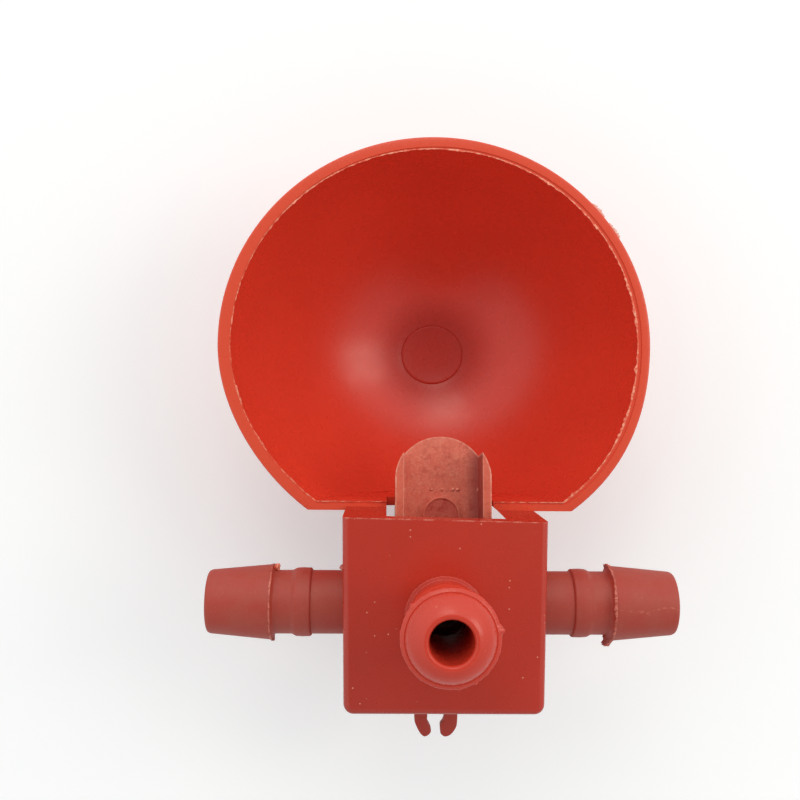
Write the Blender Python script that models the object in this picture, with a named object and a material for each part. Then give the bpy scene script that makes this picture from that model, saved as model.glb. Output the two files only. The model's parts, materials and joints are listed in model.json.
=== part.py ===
"""Poultry drinking cup: a moulded bowl with a hood behind it, a hose line through the hood and a
nipple on top of it. A rocking tongue in the hood's mouth lifts a valve pin and leads the water to
the bowl.

Run it with blender --background --python part.py, or from the text editor.
The origin is the middle of the bowl's foot. +Z is up and +Y points from the bowl to the hood.
"""

import math

import bmesh
import bpy
from mathutils import Matrix, Vector

MM = 0.001

# Bowl
BOWL_HALF_WIDTH = 28.0 * MM
BOWL_HALF_LENGTH = 27.1 * MM
BOWL_HEIGHT = 28.0 * MM
RIM_WALL = 1.6 * MM
BOWL_FLOOR = 1.7 * MM
FOOT_RADIUS = 5.2 * MM
FOOT_HEIGHT = 0.7 * MM
PAD_RADIUS = 4.8 * MM
PAD_HEIGHT = 0.35 * MM
BACK_WALL_FRONT = 20.4 * MM
BACK_WALL = 0.8 * MM
RIM_EDGE = 0.25 * MM

# Hood
HOOD_LAP = 0.2 * MM
HOOD_WIDTH = 24.3 * MM
HOOD_BACK_WIDTH = 23.7 * MM
HOOD_LENGTH = 23.0 * MM
HOOD_TOP = 40.2 * MM
HOOD_HEIGHT = 26.2 * MM
HOOD_WALL = 1.5 * MM
HOOD_FRONT_WALL = 1.0 * MM
HOOD_ROOF = 2.0 * MM
HOOD_CORNER = 1.2 * MM
HOOD_TOP_EDGE = 0.6 * MM
LINTEL = 2.5 * MM

# Hose line across the hood
LINE_DROP = 8.2 * MM
LINE_REACH = 16.9 * MM
LINE_NECK = 3.92 * MM
LINE_BORE = 2.4 * MM
LINE_TIP = 3.88 * MM
LINE_BARB = 4.65 * MM
LINE_BARB_LENGTH = 7.9 * MM
LINE_BARB_BACK = 0.35 * MM
LINE_BEAD = 4.25 * MM
LINE_BEAD_PLACE = 5.2 * MM
BEAD_WIDTH = 2.5 * MM

# Nipple on the hood's roof
NIPPLE_HEIGHT = 12.8 * MM
NIPPLE_NECK = 4.3 * MM
NIPPLE_FOOT = 4.8 * MM
NIPPLE_FOOT_HEIGHT = 0.35 * MM
NIPPLE_BEAD = 4.6 * MM
NIPPLE_BEAD_PLACE = 3.6 * MM
NIPPLE_BARB = 5.45 * MM
NIPPLE_BARB_PLACE = 10.2 * MM
NIPPLE_LAND = 0.5 * MM
NIPPLE_SHOULDER = 4.9 * MM
NIPPLE_SHOULDER_RISE = 0.5 * MM
NIPPLE_CROWN = 0.25 * MM
NIPPLE_MOUTH = 2.95 * MM
NIPPLE_BORE = 2.4 * MM

# Valve chamber under the crossing of the bores
CHAMBER_WALL = 1.5 * MM
CHAMBER_BORE = 3.0 * MM
CHAMBER_DROP = 4.7 * MM
BUSH_RECESS = 0.1 * MM
BUSH_HEIGHT = 1.6 * MM
WASHER_HEIGHT = 0.8 * MM
BUSH_HOLE = 1.3 * MM
PIN_HEAD = 2.2 * MM
PIN_HEAD_HEIGHT = 1.4 * MM
PIN_STEM = 0.9 * MM
PIN_EDGE = 0.3 * MM

# Rocking tongue, level before it is turned down to its slope at rest
TONGUE_WIDTH = 12.3 * MM
TONGUE_WALL = 1.1 * MM
TONGUE_FLOOR = 1.2 * MM
TONGUE_WALL_HEIGHT = 6.2 * MM
TONGUE_TAIL_WALL = 1.0 * MM
TONGUE_REACH = 9.6 * MM
TONGUE_TAIL = 2.0 * MM
TONGUE_TAIL_GAP = 0.4 * MM
TONGUE_NOSE_RADIUS = 6.2 * MM
TONGUE_SLOPE = math.radians(8)
TONGUE_TRAVEL = math.radians(6)
TONGUE_BOSS_RADIUS = 2.45 * MM
TONGUE_BOSS_HEIGHT = 1.3 * MM
TONGUE_BOSS_PLACE = 1.2 * MM
MOUTH_CLEARANCE = 0.8 * MM

# Pivot of the tongue
PIVOT_PLACE = 4.3 * MM
PIVOT_RISE = 3.7 * MM
PIVOT_RADIUS = 1.4 * MM
PIVOT_REACH = 2.2 * MM
EAR_GAP = 0.5 * MM
EAR_THICKNESS = 2.0 * MM
EAR_HALF_LENGTH = 2.2 * MM
EAR_DROP = 2.0 * MM
EAR_SLOT = 2.2 * MM

# Wire clip on the hood's back
CLIP_HALF_WIDTH = 2.93 * MM
CLIP_SLOT = 2.34 * MM
CLIP_LENGTH = 8.9 * MM
CLIP_HEIGHT = 7.0 * MM
CLIP_RISE = 1.0 * MM
CLIP_MOUTH = 1.2 * MM
CLIP_HOOK = 2.8 * MM
CLIP_LIP = 1.12 * MM
CLIP_SLOPE = 0.2 * MM

# Fits and fineness
SEAT_GAP = 0.3 * MM
WELD = 0.5 * MM
CLEAR = 1.0 * MM
BOWL_SEGMENTS = 72
BOWL_STEPS = 13
TUBE_SEGMENTS = 32
SMALL_SEGMENTS = 24
CORNER_STEPS = 5
EDGE_STEPS = 3
NOSE_STEPS = 14
HOOK_STEPS = 10
SMOOTH_ANGLE = math.radians(35)
MERGE = 0.002 * MM

# Places worked out from the sizes above
HOOD_FRONT = BACK_WALL_FRONT + BACK_WALL - HOOD_LAP
HOOD_BACK = HOOD_FRONT + HOOD_LENGTH
HOOD_BOTTOM = HOOD_TOP - HOOD_HEIGHT
VALVE_Y = HOOD_FRONT + HOOD_LENGTH / 2
LINE_Z = HOOD_TOP - LINE_DROP
LINE_END = HOOD_WIDTH / 2 + LINE_REACH
CHAMBER_RADIUS = CHAMBER_BORE + CHAMBER_WALL
CHAMBER_BOTTOM = LINE_Z - CHAMBER_DROP
BUSH_BOTTOM = CHAMBER_BOTTOM + BUSH_RECESS
WASHER_BOTTOM = BUSH_BOTTOM + BUSH_HEIGHT + SEAT_GAP
PIN_HEAD_BOTTOM = WASHER_BOTTOM + WASHER_HEIGHT + SEAT_GAP
TONGUE_NOSE = HOOD_FRONT - TONGUE_REACH
TONGUE_BACK = VALVE_Y + TONGUE_TAIL
PIVOT_Y = HOOD_FRONT + PIVOT_PLACE
PRESSED = TONGUE_SLOPE + TONGUE_TRAVEL
TAIL_RISE = (TONGUE_BACK - PIVOT_Y) * math.tan(PRESSED) - PIVOT_RISE / math.cos(PRESSED)
PIVOT_Z = CHAMBER_BOTTOM - TONGUE_TAIL_GAP - TAIL_RISE
PIVOT_HOLE = PIVOT_RADIUS + SEAT_GAP
TONGUE_FLOOR_TOP = PIVOT_Z - PIVOT_RISE
TONGUE_UNDER = TONGUE_FLOOR_TOP - TONGUE_FLOOR
TAIL_TOP = PIVOT_Z - PIVOT_RISE / math.cos(TONGUE_SLOPE)
TAIL_TOP += (VALVE_Y + PIN_STEM - PIVOT_Y) * math.tan(TONGUE_SLOPE)
PIN_BOTTOM = TAIL_TOP + SEAT_GAP
SILL_DROP = (PIVOT_RISE + TONGUE_FLOOR) / math.cos(PRESSED)
SILL_DROP += (PIVOT_Y - BACK_WALL_FRONT) * math.tan(PRESSED)
MOUTH_HALF_WIDTH = TONGUE_WIDTH / 2 + MOUTH_CLEARANCE
MOUTH_BOTTOM = PIVOT_Z - SILL_DROP - SEAT_GAP
MOUTH_TOP = HOOD_TOP - LINTEL


def clear_scene():
    for obj in list(bpy.data.objects):
        bpy.data.objects.remove(obj, do_unlink=True)


def make_material(name, colour, roughness, metallic=0.0):
    material = bpy.data.materials.new(name)
    material.use_nodes = True
    shader = material.node_tree.nodes["Principled BSDF"]
    shader.inputs["Base Color"].default_value = (*colour, 1.0)
    shader.inputs["Roughness"].default_value = roughness
    shader.inputs["Metallic"].default_value = metallic
    return material


def make_object(name, bm):
    """Turns a bmesh into an object of the scene, with its faces pointing out."""
    bmesh.ops.remove_doubles(bm, verts=bm.verts, dist=MERGE)
    bmesh.ops.recalc_face_normals(bm, faces=bm.faces)
    mesh = bpy.data.meshes.new(name)
    bm.to_mesh(mesh)
    bm.free()
    obj = bpy.data.objects.new(name, mesh)
    bpy.context.scene.collection.objects.link(obj)
    return obj


def combine(target, tool, operation):
    """Joins the tool to the target, or cuts it away, and removes the tool."""
    modifier = target.modifiers.new("combine", "BOOLEAN")
    modifier.solver = "EXACT"
    modifier.operation = operation
    modifier.object = tool
    graph = bpy.context.evaluated_depsgraph_get()
    result = bpy.data.meshes.new_from_object(target.evaluated_get(graph))
    target.modifiers.clear()
    bm = bmesh.new()
    bm.from_mesh(result)
    bmesh.ops.remove_doubles(bm, verts=bm.verts, dist=MERGE)
    bmesh.ops.dissolve_degenerate(bm, edges=bm.edges, dist=MERGE)
    bm.to_mesh(result)
    bm.free()
    target.data = result
    bpy.data.objects.remove(tool, do_unlink=True)


def add(target, tool):
    combine(target, tool, "UNION")


def cut(target, tool):
    combine(target, tool, "DIFFERENCE")


def finish(obj, material):
    obj.data.materials.clear()
    obj.data.materials.append(material)
    obj.data.shade_smooth()
    obj.data.set_sharp_from_angle(angle=SMOOTH_ANGLE)


def box_mesh(low, high):
    bm = bmesh.new()
    bmesh.ops.create_cube(bm, size=1.0)
    size = Vector(high) - Vector(low)
    middle = (Vector(high) + Vector(low)) / 2
    bmesh.ops.scale(bm, vec=size, verts=bm.verts)
    bmesh.ops.translate(bm, vec=middle, verts=bm.verts)
    return bm


def box(name, low, high):
    return make_object(name, box_mesh(low, high))


def turned_mesh(profile, segments):
    """A solid of revolution about Z. The profile is a list of (radius, height) points."""
    bm = bmesh.new()
    points = [bm.verts.new((radius, 0.0, height)) for radius, height in profile]
    edges = [bm.edges.new(pair) for pair in zip(points, points[1:])]
    if profile[0][0] > 0:
        edges.append(bm.edges.new((points[-1], points[0])))
    bmesh.ops.spin(
        bm,
        geom=points + edges,
        cent=(0, 0, 0),
        axis=(0, 0, 1),
        angle=2 * math.pi,
        steps=segments,
        use_merge=True,
    )
    bmesh.ops.remove_doubles(bm, verts=bm.verts, dist=MERGE)
    return bm


def turned(name, profile, segments, place=(0, 0, 0), along="Z"):
    """A turned solid moved to its place, with its axis along Z or X."""
    bm = turned_mesh(profile, segments)
    turn = math.pi / 2 if along == "X" else 0.0
    bmesh.ops.rotate(
        bm, cent=(0, 0, 0), matrix=Matrix.Rotation(turn, 3, "Y"), verts=bm.verts
    )
    bmesh.ops.translate(bm, vec=place, verts=bm.verts)
    return make_object(name, bm)


def rod(name, radius, start, end, segments, place=(0, 0, 0), along="Z"):
    profile = [(0.0, start), (radius, start), (radius, end), (0.0, end)]
    return turned(name, profile, segments, place, along)


def extruded(name, outline, bottom, top):
    """A prism over an outline of (x, y) points."""
    bm = bmesh.new()
    corners = [bm.verts.new((x, y, bottom)) for x, y in outline]
    face = bm.faces.new(corners)
    lifted = bmesh.ops.extrude_face_region(bm, geom=[face])
    moved = [v for v in lifted["geom"] if isinstance(v, bmesh.types.BMVert)]
    bmesh.ops.translate(bm, vec=(0, 0, top - bottom), verts=moved)
    return make_object(name, bm)


def arc(centre, radius, start, end, steps):
    """Points on an arc, angles in degrees, both ends included."""
    angles = [math.radians(start + (end - start) * i / steps) for i in range(steps + 1)]
    return [
        (centre[0] + radius * math.cos(a), centre[1] + radius * math.sin(a))
        for a in angles
    ]


def bevel_edges(bm, chosen, width, segments):
    bmesh.ops.bevel(
        bm,
        geom=chosen,
        offset=width,
        offset_type="OFFSET",
        segments=segments,
        profile=0.5,
        affect="EDGES",
        material=-1,
    )


def bowl_outside():
    """Outer profile of the bowl: a foot, and a quarter circle up to the rim."""
    start = math.degrees(math.asin(FOOT_RADIUS / BOWL_HALF_WIDTH))
    points = [(0.0, 0.0), (FOOT_RADIUS, 0.0), (FOOT_RADIUS, FOOT_HEIGHT / 2)]
    for i in range(1, BOWL_STEPS + 1):
        angle = math.radians(start + (90 - start) * i / BOWL_STEPS)
        radius = BOWL_HALF_WIDTH * math.sin(angle)
        points.append((radius, BOWL_HEIGHT * (1 - math.cos(angle))))
    outer, height = points.pop()
    points += [(outer, height - RIM_EDGE), (outer - RIM_EDGE, height), (0.0, height)]
    return points


def bowl_inside():
    """Inner profile of the bowl, carried on above the rim so that it cuts clear."""
    radius_at_rim = BOWL_HALF_WIDTH - RIM_WALL
    depth = BOWL_HEIGHT - BOWL_FLOOR
    floor = BOWL_FLOOR + PAD_HEIGHT
    start = math.degrees(math.acos(1 - PAD_HEIGHT / (2 * depth)))
    low = BOWL_HEIGHT - depth * math.cos(math.radians(start))
    points = [(0.0, floor), (PAD_RADIUS - PAD_HEIGHT, floor), (PAD_RADIUS, low)]
    for i in range(2, BOWL_STEPS + 1):
        angle = math.radians(90 * i / BOWL_STEPS)
        points.append(
            (radius_at_rim * math.sin(angle), BOWL_HEIGHT - depth * math.cos(angle))
        )
    above = BOWL_HEIGHT + CLEAR
    return points + [(radius_at_rim, above), (0.0, above)]


def half_bowl(name, profile, cut_at):
    """A turned bowl form, drawn in along Y and cut off flat at the back."""
    bm = turned_mesh(profile, BOWL_SEGMENTS)
    shape = (1.0, BOWL_HALF_LENGTH / BOWL_HALF_WIDTH, 1.0)
    bmesh.ops.scale(bm, vec=shape, verts=bm.verts)
    everything = bm.verts[:] + bm.edges[:] + bm.faces[:]
    cut_ring = bmesh.ops.bisect_plane(
        bm,
        geom=everything,
        plane_co=(0, cut_at, 0),
        plane_no=(0, 1, 0),
        clear_outer=True,
    )
    rim = [e for e in cut_ring["geom_cut"] if isinstance(e, bmesh.types.BMEdge)]
    bmesh.ops.contextual_create(bm, geom=rim)
    return make_object(name, bm)


def make_bowl():
    bowl = half_bowl("bowl", bowl_outside(), BACK_WALL_FRONT + BACK_WALL)
    cut(bowl, half_bowl("bowl_space", bowl_inside(), BACK_WALL_FRONT))
    return bowl


def hood_block():
    """The hood's outer form: it narrows to the back and has round back corners and top edges."""
    low = (-HOOD_WIDTH / 2, HOOD_FRONT, HOOD_BOTTOM)
    bm = box_mesh(low, (HOOD_WIDTH / 2, HOOD_BACK, HOOD_TOP))
    for vert in bm.verts:
        if vert.co.y > VALVE_Y:
            vert.co.x *= HOOD_BACK_WIDTH / HOOD_WIDTH

    def upright(edge):
        return all(v.co.y > VALVE_Y for v in edge.verts) and (
            abs(edge.verts[0].co.z - edge.verts[1].co.z) > HOOD_HEIGHT / 2
        )

    bevel_edges(bm, [e for e in bm.edges if upright(e)], HOOD_CORNER, CORNER_STEPS)
    roof = HOOD_TOP - HOOD_TOP_EDGE
    top = [
        e
        for e in bm.edges
        if all(v.co.z > roof for v in e.verts)
        and not all(v.co.y < HOOD_FRONT + HOOD_CORNER for v in e.verts)
    ]
    bevel_edges(bm, top, HOOD_TOP_EDGE, EDGE_STEPS)
    return make_object("hood", bm)


def hood_space():
    """The space inside the hood, open at the bottom."""
    low = (-HOOD_WIDTH / 2 + HOOD_WALL, HOOD_FRONT + HOOD_FRONT_WALL, HOOD_BOTTOM - CLEAR)
    high = (HOOD_WIDTH / 2 - HOOD_WALL, HOOD_BACK - HOOD_WALL, HOOD_TOP - HOOD_ROOF)
    bm = box_mesh(low, high)
    for vert in bm.verts:
        if vert.co.y > VALVE_Y:
            vert.co.x *= HOOD_BACK_WIDTH / HOOD_WIDTH
    return make_object("hood_space", bm)


def line_profile():
    """The hose line from barb tip to barb tip, the same on both sides of the valve's axis."""
    half_bead = BEAD_WIDTH / 2
    bead = HOOD_WIDTH / 2 + LINE_BEAD_PLACE
    barb = LINE_END - LINE_BARB_LENGTH
    slope = half_bead / 2
    half = [
        (LINE_NECK, bead - half_bead),
        (LINE_BEAD, bead - slope),
        (LINE_BEAD, bead + slope),
        (LINE_NECK, bead + half_bead),
        (LINE_NECK, barb - LINE_BARB_BACK),
        (LINE_BARB, barb),
        (LINE_TIP, LINE_END),
        (0.0, LINE_END),
    ]
    return [(radius, -x) for radius, x in reversed(half)] + half


def nipple_profile():
    """The nipple, from inside the roof to its mouth."""
    half_bead = BEAD_WIDTH / 2
    bead = HOOD_TOP + NIPPLE_BEAD_PLACE
    slope = half_bead / 2
    barb = HOOD_TOP + NIPPLE_BARB_PLACE
    mouth = HOOD_TOP + NIPPLE_HEIGHT
    shoulder = barb + NIPPLE_LAND + NIPPLE_SHOULDER_RISE
    crown = (
        (NIPPLE_SHOULDER + NIPPLE_MOUTH) / 2 + NIPPLE_CROWN,
        (shoulder + mouth) / 2 + NIPPLE_CROWN,
    )
    return [
        (0.0, HOOD_TOP - WELD),
        (NIPPLE_FOOT, HOOD_TOP - WELD),
        (NIPPLE_FOOT, HOOD_TOP + NIPPLE_FOOT_HEIGHT),
        (NIPPLE_NECK, HOOD_TOP + NIPPLE_FOOT_HEIGHT),
        (NIPPLE_NECK, bead - half_bead),
        (NIPPLE_BEAD, bead - slope),
        (NIPPLE_BEAD, bead + slope),
        (NIPPLE_NECK, bead + half_bead),
        (NIPPLE_NECK, barb - (NIPPLE_BARB - NIPPLE_NECK)),
        (NIPPLE_BARB, barb),
        (NIPPLE_BARB, barb + NIPPLE_LAND),
        (NIPPLE_SHOULDER, shoulder),
        crown,
        (NIPPLE_MOUTH, mouth),
        (0.0, mouth),
    ]


def add_water_way(body):
    """The hose line, the nipple and the valve chamber, then their bores."""
    add(body, turned("line", line_profile(), TUBE_SEGMENTS, (0, VALVE_Y, LINE_Z), "X"))
    add(body, turned("nipple", nipple_profile(), TUBE_SEGMENTS, (0, VALVE_Y, 0)))
    column = (CHAMBER_RADIUS, CHAMBER_BOTTOM, HOOD_TOP - HOOD_ROOF + WELD)
    add(body, rod("column", *column, TUBE_SEGMENTS, (0, VALVE_Y, 0)))
    past = LINE_END + CLEAR
    bore = (LINE_BORE, -past, past)
    cut(body, rod("line_bore", *bore, TUBE_SEGMENTS, (0, VALVE_Y, LINE_Z), "X"))
    bore = (NIPPLE_BORE, LINE_Z - WELD, HOOD_TOP + NIPPLE_HEIGHT + CLEAR)
    cut(body, rod("nipple_bore", *bore, TUBE_SEGMENTS, (0, VALVE_Y, 0)))
    bore = (CHAMBER_BORE, CHAMBER_BOTTOM - CLEAR, LINE_Z + WELD)
    cut(body, rod("chamber_bore", *bore, TUBE_SEGMENTS, (0, VALVE_Y, 0)))


def add_ears(body):
    """Two ears under the roof, each with a round seat and a narrower slot that opens down."""
    inner = TONGUE_WIDTH / 2 + EAR_GAP
    outer = inner + EAR_THICKNESS
    for side in (-1, 1):
        near, far = sorted((side * inner, side * outer))
        low = (near, PIVOT_Y - EAR_HALF_LENGTH, PIVOT_Z - EAR_DROP)
        high = (far, PIVOT_Y + EAR_HALF_LENGTH, HOOD_TOP - HOOD_ROOF + WELD)
        add(body, box("ear", low, high))
        seat = (PIVOT_HOLE, near - CLEAR, far + CLEAR)
        cut(body, rod("seat", *seat, SMALL_SEGMENTS, (0, PIVOT_Y, PIVOT_Z), "X"))
        low = (near - CLEAR, PIVOT_Y - EAR_SLOT / 2, PIVOT_Z - EAR_DROP - CLEAR)
        cut(body, box("slot", low, (far + CLEAR, PIVOT_Y + EAR_SLOT / 2, PIVOT_Z)))


def clip_outline(side):
    """One finger of the wire clip seen from above: straight, then hooked in at its tip."""
    tip = HOOD_BACK + CLIP_LENGTH
    inner = CLIP_SLOT / 2
    lip = CLIP_MOUTH / 2
    hook = tip - CLIP_HOOK
    width = CLIP_HALF_WIDTH - lip
    nose = [
        (
            lip + width / 2 + width / 2 * math.cos(a),
            tip - CLIP_HOOK / 2 + CLIP_HOOK / 2 * math.sin(a),
        )
        for a in (math.pi * i / HOOK_STEPS for i in range(HOOK_STEPS + 1))
    ]
    outline = [
        (inner, HOOD_BACK - WELD),
        (CLIP_HALF_WIDTH, HOOD_BACK - WELD),
        (CLIP_HALF_WIDTH, hook),
        *nose,
        (lip, hook + CLIP_LIP),
        (inner, hook - CLIP_SLOPE),
    ]
    return [(side * x, y) for x, y in outline]


def add_clip(body):
    bottom = HOOD_BOTTOM + CLIP_RISE
    for side in (-1, 1):
        finger = extruded("finger", clip_outline(side), bottom, bottom + CLIP_HEIGHT)
        add(body, finger)


def cut_mouth(body):
    """The mouth in the hood's front, down to a sill in the bowl's thin back wall. Behind that wall
    the hood's front is open down to its bottom."""
    high = (MOUTH_HALF_WIDTH, HOOD_FRONT + HOOD_FRONT_WALL + CLEAR, MOUTH_TOP)
    low = (-MOUTH_HALF_WIDTH, BACK_WALL_FRONT - CLEAR, MOUTH_BOTTOM)
    cut(body, box("mouth", low, high))
    low = (-MOUTH_HALF_WIDTH, BACK_WALL_FRONT + BACK_WALL, HOOD_BOTTOM - CLEAR)
    cut(body, box("mouth_run", low, high))


def make_cup_body(material):
    body = make_bowl()
    body.name = "cup_body"
    hood = hood_block()
    cut(hood, hood_space())
    add(body, hood)
    cut_mouth(body)
    add_water_way(body)
    add_ears(body)
    add_clip(body)
    finish(body, material)


def tongue_outline(half_width, nose_y, radius, back):
    """The tongue seen from above: straight sides and an arched nose."""
    centre = (0.0, nose_y + radius)
    spread = math.degrees(math.asin(half_width / radius))
    nose = arc(centre, radius, -90 + spread, -90 - spread, NOSE_STEPS)
    return [(-half_width, back), (half_width, back), *nose]


def hang_on_pivot(tongue):
    """Moves the mesh so that its origin is on the pivot's axis, and turns it down to its slope."""
    axis = Vector((0, PIVOT_Y, PIVOT_Z))
    tongue.data.transform(Matrix.Translation(-axis))
    tongue.location = axis
    tongue.rotation_euler.x = TONGUE_SLOPE


def make_tongue(material):
    half = TONGUE_WIDTH / 2
    wall_top = TONGUE_FLOOR_TOP + TONGUE_WALL_HEIGHT
    outline = tongue_outline(half, TONGUE_NOSE, TONGUE_NOSE_RADIUS, TONGUE_BACK)
    tongue = extruded("trigger_tongue", outline, TONGUE_UNDER, wall_top)
    inner = half - TONGUE_WALL
    low = (-inner, TONGUE_NOSE - CLEAR, TONGUE_FLOOR_TOP)
    cut(tongue, box("channel", low, (inner, TONGUE_BACK + CLEAR, wall_top + CLEAR)))
    tail = VALVE_Y - LINE_NECK - WELD
    low = (-half - CLEAR, tail, TONGUE_FLOOR_TOP + TONGUE_TAIL_WALL)
    cut(tongue, box("step", low, (half + CLEAR, TONGUE_BACK + CLEAR, wall_top + CLEAR)))
    boss = (TONGUE_BOSS_RADIUS, TONGUE_UNDER + WELD, TONGUE_FLOOR_TOP + TONGUE_BOSS_HEIGHT)
    place = (0, HOOD_FRONT + TONGUE_BOSS_PLACE, 0)
    add(tongue, rod("boss", *boss, SMALL_SEGMENTS, place))
    reach = half + PIVOT_REACH
    for start, end in ((inner + WELD, reach), (-reach, -inner - WELD)):
        pivot = (PIVOT_RADIUS, start, end)
        add(tongue, rod("pivot", *pivot, SMALL_SEGMENTS, (0, PIVOT_Y, PIVOT_Z), "X"))
    hang_on_pivot(tongue)
    finish(tongue, material)


def make_valve(bush_material, washer_material, pin_material):
    """The seat bush, the rubber washer on it and the pin that drops on the washer."""
    place = (0, VALVE_Y, 0)
    outer = CHAMBER_BORE - SEAT_GAP
    top = BUSH_BOTTOM + BUSH_HEIGHT
    ring = [(BUSH_HOLE, BUSH_BOTTOM), (outer, BUSH_BOTTOM), (outer, top), (BUSH_HOLE, top)]
    finish(turned("seat_bush", ring, SMALL_SEGMENTS, place), bush_material)
    low = WASHER_BOTTOM
    top = low + WASHER_HEIGHT
    ring = [(BUSH_HOLE, low), (outer, low), (outer, top), (BUSH_HOLE, top)]
    finish(turned("seat_washer", ring, SMALL_SEGMENTS, place), washer_material)
    top = PIN_HEAD_BOTTOM + PIN_HEAD_HEIGHT
    profile = [
        (0.0, PIN_BOTTOM),
        (PIN_STEM - PIN_EDGE, PIN_BOTTOM),
        (PIN_STEM, PIN_BOTTOM + PIN_EDGE),
        (PIN_STEM, PIN_HEAD_BOTTOM),
        (PIN_HEAD, PIN_HEAD_BOTTOM),
        (PIN_HEAD, top - PIN_EDGE),
        (PIN_HEAD - PIN_EDGE, top),
        (0.0, top),
    ]
    finish(turned("valve_pin", profile, SMALL_SEGMENTS, place), pin_material)


def main():
    clear_scene()
    red = make_material("red moulding", (0.62, 0.045, 0.02), 0.32)
    dull_red = make_material("dull red moulding", (0.50, 0.10, 0.07), 0.6)
    white = make_material("white bush", (0.8, 0.8, 0.78), 0.5)
    rubber = make_material("black rubber", (0.03, 0.03, 0.03), 0.8)
    steel = make_material("stainless steel", (0.6, 0.6, 0.6), 0.25, 1.0)
    make_cup_body(red)
    make_tongue(dull_red)
    make_valve(white, rubber, steel)


main()
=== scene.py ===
import json
import math

import bmesh
import bpy
from bpy.props import FloatProperty, FloatVectorProperty, PointerProperty
from mathutils import Matrix, Vector, noise


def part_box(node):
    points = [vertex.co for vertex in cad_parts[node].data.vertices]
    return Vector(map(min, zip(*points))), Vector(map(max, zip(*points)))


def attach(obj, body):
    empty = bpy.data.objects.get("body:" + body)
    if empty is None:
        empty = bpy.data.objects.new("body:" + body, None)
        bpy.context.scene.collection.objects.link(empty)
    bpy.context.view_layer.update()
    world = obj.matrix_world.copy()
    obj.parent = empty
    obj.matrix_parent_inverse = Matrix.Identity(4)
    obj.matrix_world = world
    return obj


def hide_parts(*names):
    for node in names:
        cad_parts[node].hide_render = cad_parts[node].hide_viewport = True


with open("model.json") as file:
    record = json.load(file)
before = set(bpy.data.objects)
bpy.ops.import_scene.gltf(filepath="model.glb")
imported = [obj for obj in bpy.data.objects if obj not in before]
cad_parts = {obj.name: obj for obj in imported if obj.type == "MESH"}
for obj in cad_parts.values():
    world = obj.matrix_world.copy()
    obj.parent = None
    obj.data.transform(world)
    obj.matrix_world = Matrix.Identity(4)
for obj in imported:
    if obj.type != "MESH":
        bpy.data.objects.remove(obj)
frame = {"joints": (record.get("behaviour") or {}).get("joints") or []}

bl_info = {
    "name": "Poultry drinking cup", "version": (1, 0, 0), "blender": (4, 5, 0),
    "location": "3D View > Sidebar > Cup",
    "description": "Moulds a poultry drinking cup with its hose barbs, nipple and rocking tongue",
    "category": "Object",
}

MM = 0.001
MERGE = 0.002 * MM
SHARP = math.radians(32)
# How deep one form is sunk into another before they are joined.
WELD = 0.5 * MM

CUP_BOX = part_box("cup_body")
BUSH_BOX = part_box("seat_bush")
WASHER_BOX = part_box("seat_washer")
PIN_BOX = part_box("valve_pin")
HINGE = next(j for j in frame["joints"] if j["name"] == "tongue_tilt")["pos_m"]
VALVE_Y = (BUSH_BOX[0][1] + BUSH_BOX[1][1]) / 2
CHAMBER_BOTTOM = BUSH_BOX[0][2] - 0.1 * MM


def length(label, description, default):
    """A size that the sidebar shows, given here in millimetres."""
    return FloatProperty(
        name=label, description=description, default=default * MM, unit="LENGTH", precision=5
    )


def tilt(label, description, default):
    """An angle that the sidebar shows, given here in radians."""
    return FloatProperty(name=label, description=description, default=default, subtype="ANGLE")


def tint(label, description, default):
    """A colour that the sidebar shows."""
    return FloatVectorProperty(
        name=label, description=description, default=default, size=3, min=0.0, max=1.0,
        subtype="COLOR",
    )


class CupBowlSizes(bpy.types.PropertyGroup):
    half_width: length("Half width", "Half the bowl along the hose line", 28.15)
    half_length: length("Half length", "Half the bowl across the hose line", -CUP_BOX[0][1] / MM)
    height: length("Height", "From the foot to the rim", 28.0)
    wall: length("Rim wall", "Thickness of the rim", 1.6)
    floor: length("Floor", "Thickness of the bowl's bottom", 1.7)
    foot: length("Foot radius", "Radius of the flat foot", 5.2)
    foot_height: length("Foot height", "Height of the foot's step", 0.7)
    pad: length("Pad radius", "Radius of the round step inside", 4.8)
    pad_height: length("Pad height", "Height of the round step inside", 0.52)
    back_front: length("Back wall place", "Front of the flat back wall", 20.3)
    back_wall: length("Back wall", "Thickness of the flat back wall", 1.15)
    rebate: length("Rebate", "Width of the narrow step inside the rim", 0.26)
    rebate_drop: length("Rebate drop", "Depth of the narrow step inside the rim", 0.14)
    set_over: length("Set", "How far the rim has moved aside in the mould", 0.88)


class CupHoodSizes(bpy.types.PropertyGroup):
    width: length("Width", "Width of the hood's front", 24.3)
    back_width: length("Back width", "Width of the hood's back", 23.7)
    front: length("Front", "Place of the middle of the hood's front", 21.18)
    long: length("Length", "From the hood's front to its back", 22.97)
    slant: FloatProperty(
        name="Slant", description="How much the hood's front leans to one side", default=0.0185
    )
    top: length("Top", "Height of the hood's roof", 40.2)
    height: length("Height", "Height of the hood", 26.2)
    wall: length("Wall", "Thickness of the sides and the back", 1.5)
    front_wall: length("Front wall", "Thickness of the front", 1.0)
    roof: length("Roof", "Thickness of the roof", 2.0)
    corner: length("Corner", "Radius of the back corners", 1.2)
    edge: length("Edge", "Radius of the roof's edges", 0.8)
    lintel: length("Lintel", "Height of the lip over the mouth", 2.5)
    mouth_clearance: length("Mouth clearance", "Gap beside the tongue", 0.8)
    sill: length("Sill", "Height of the mouth's sill", 21.85)
    run: length("Run", "How much wider the opening is behind the bowl", 1.8)
    lead: length("Lead", "How thin the mouth's side is on the right, where it is cut back", 0.35)
    chamber: length("Chamber", "Outer radius of the valve chamber", 4.5)
    chamber_bore: length("Chamber bore", "Radius of the valve chamber", 3.0)


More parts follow.
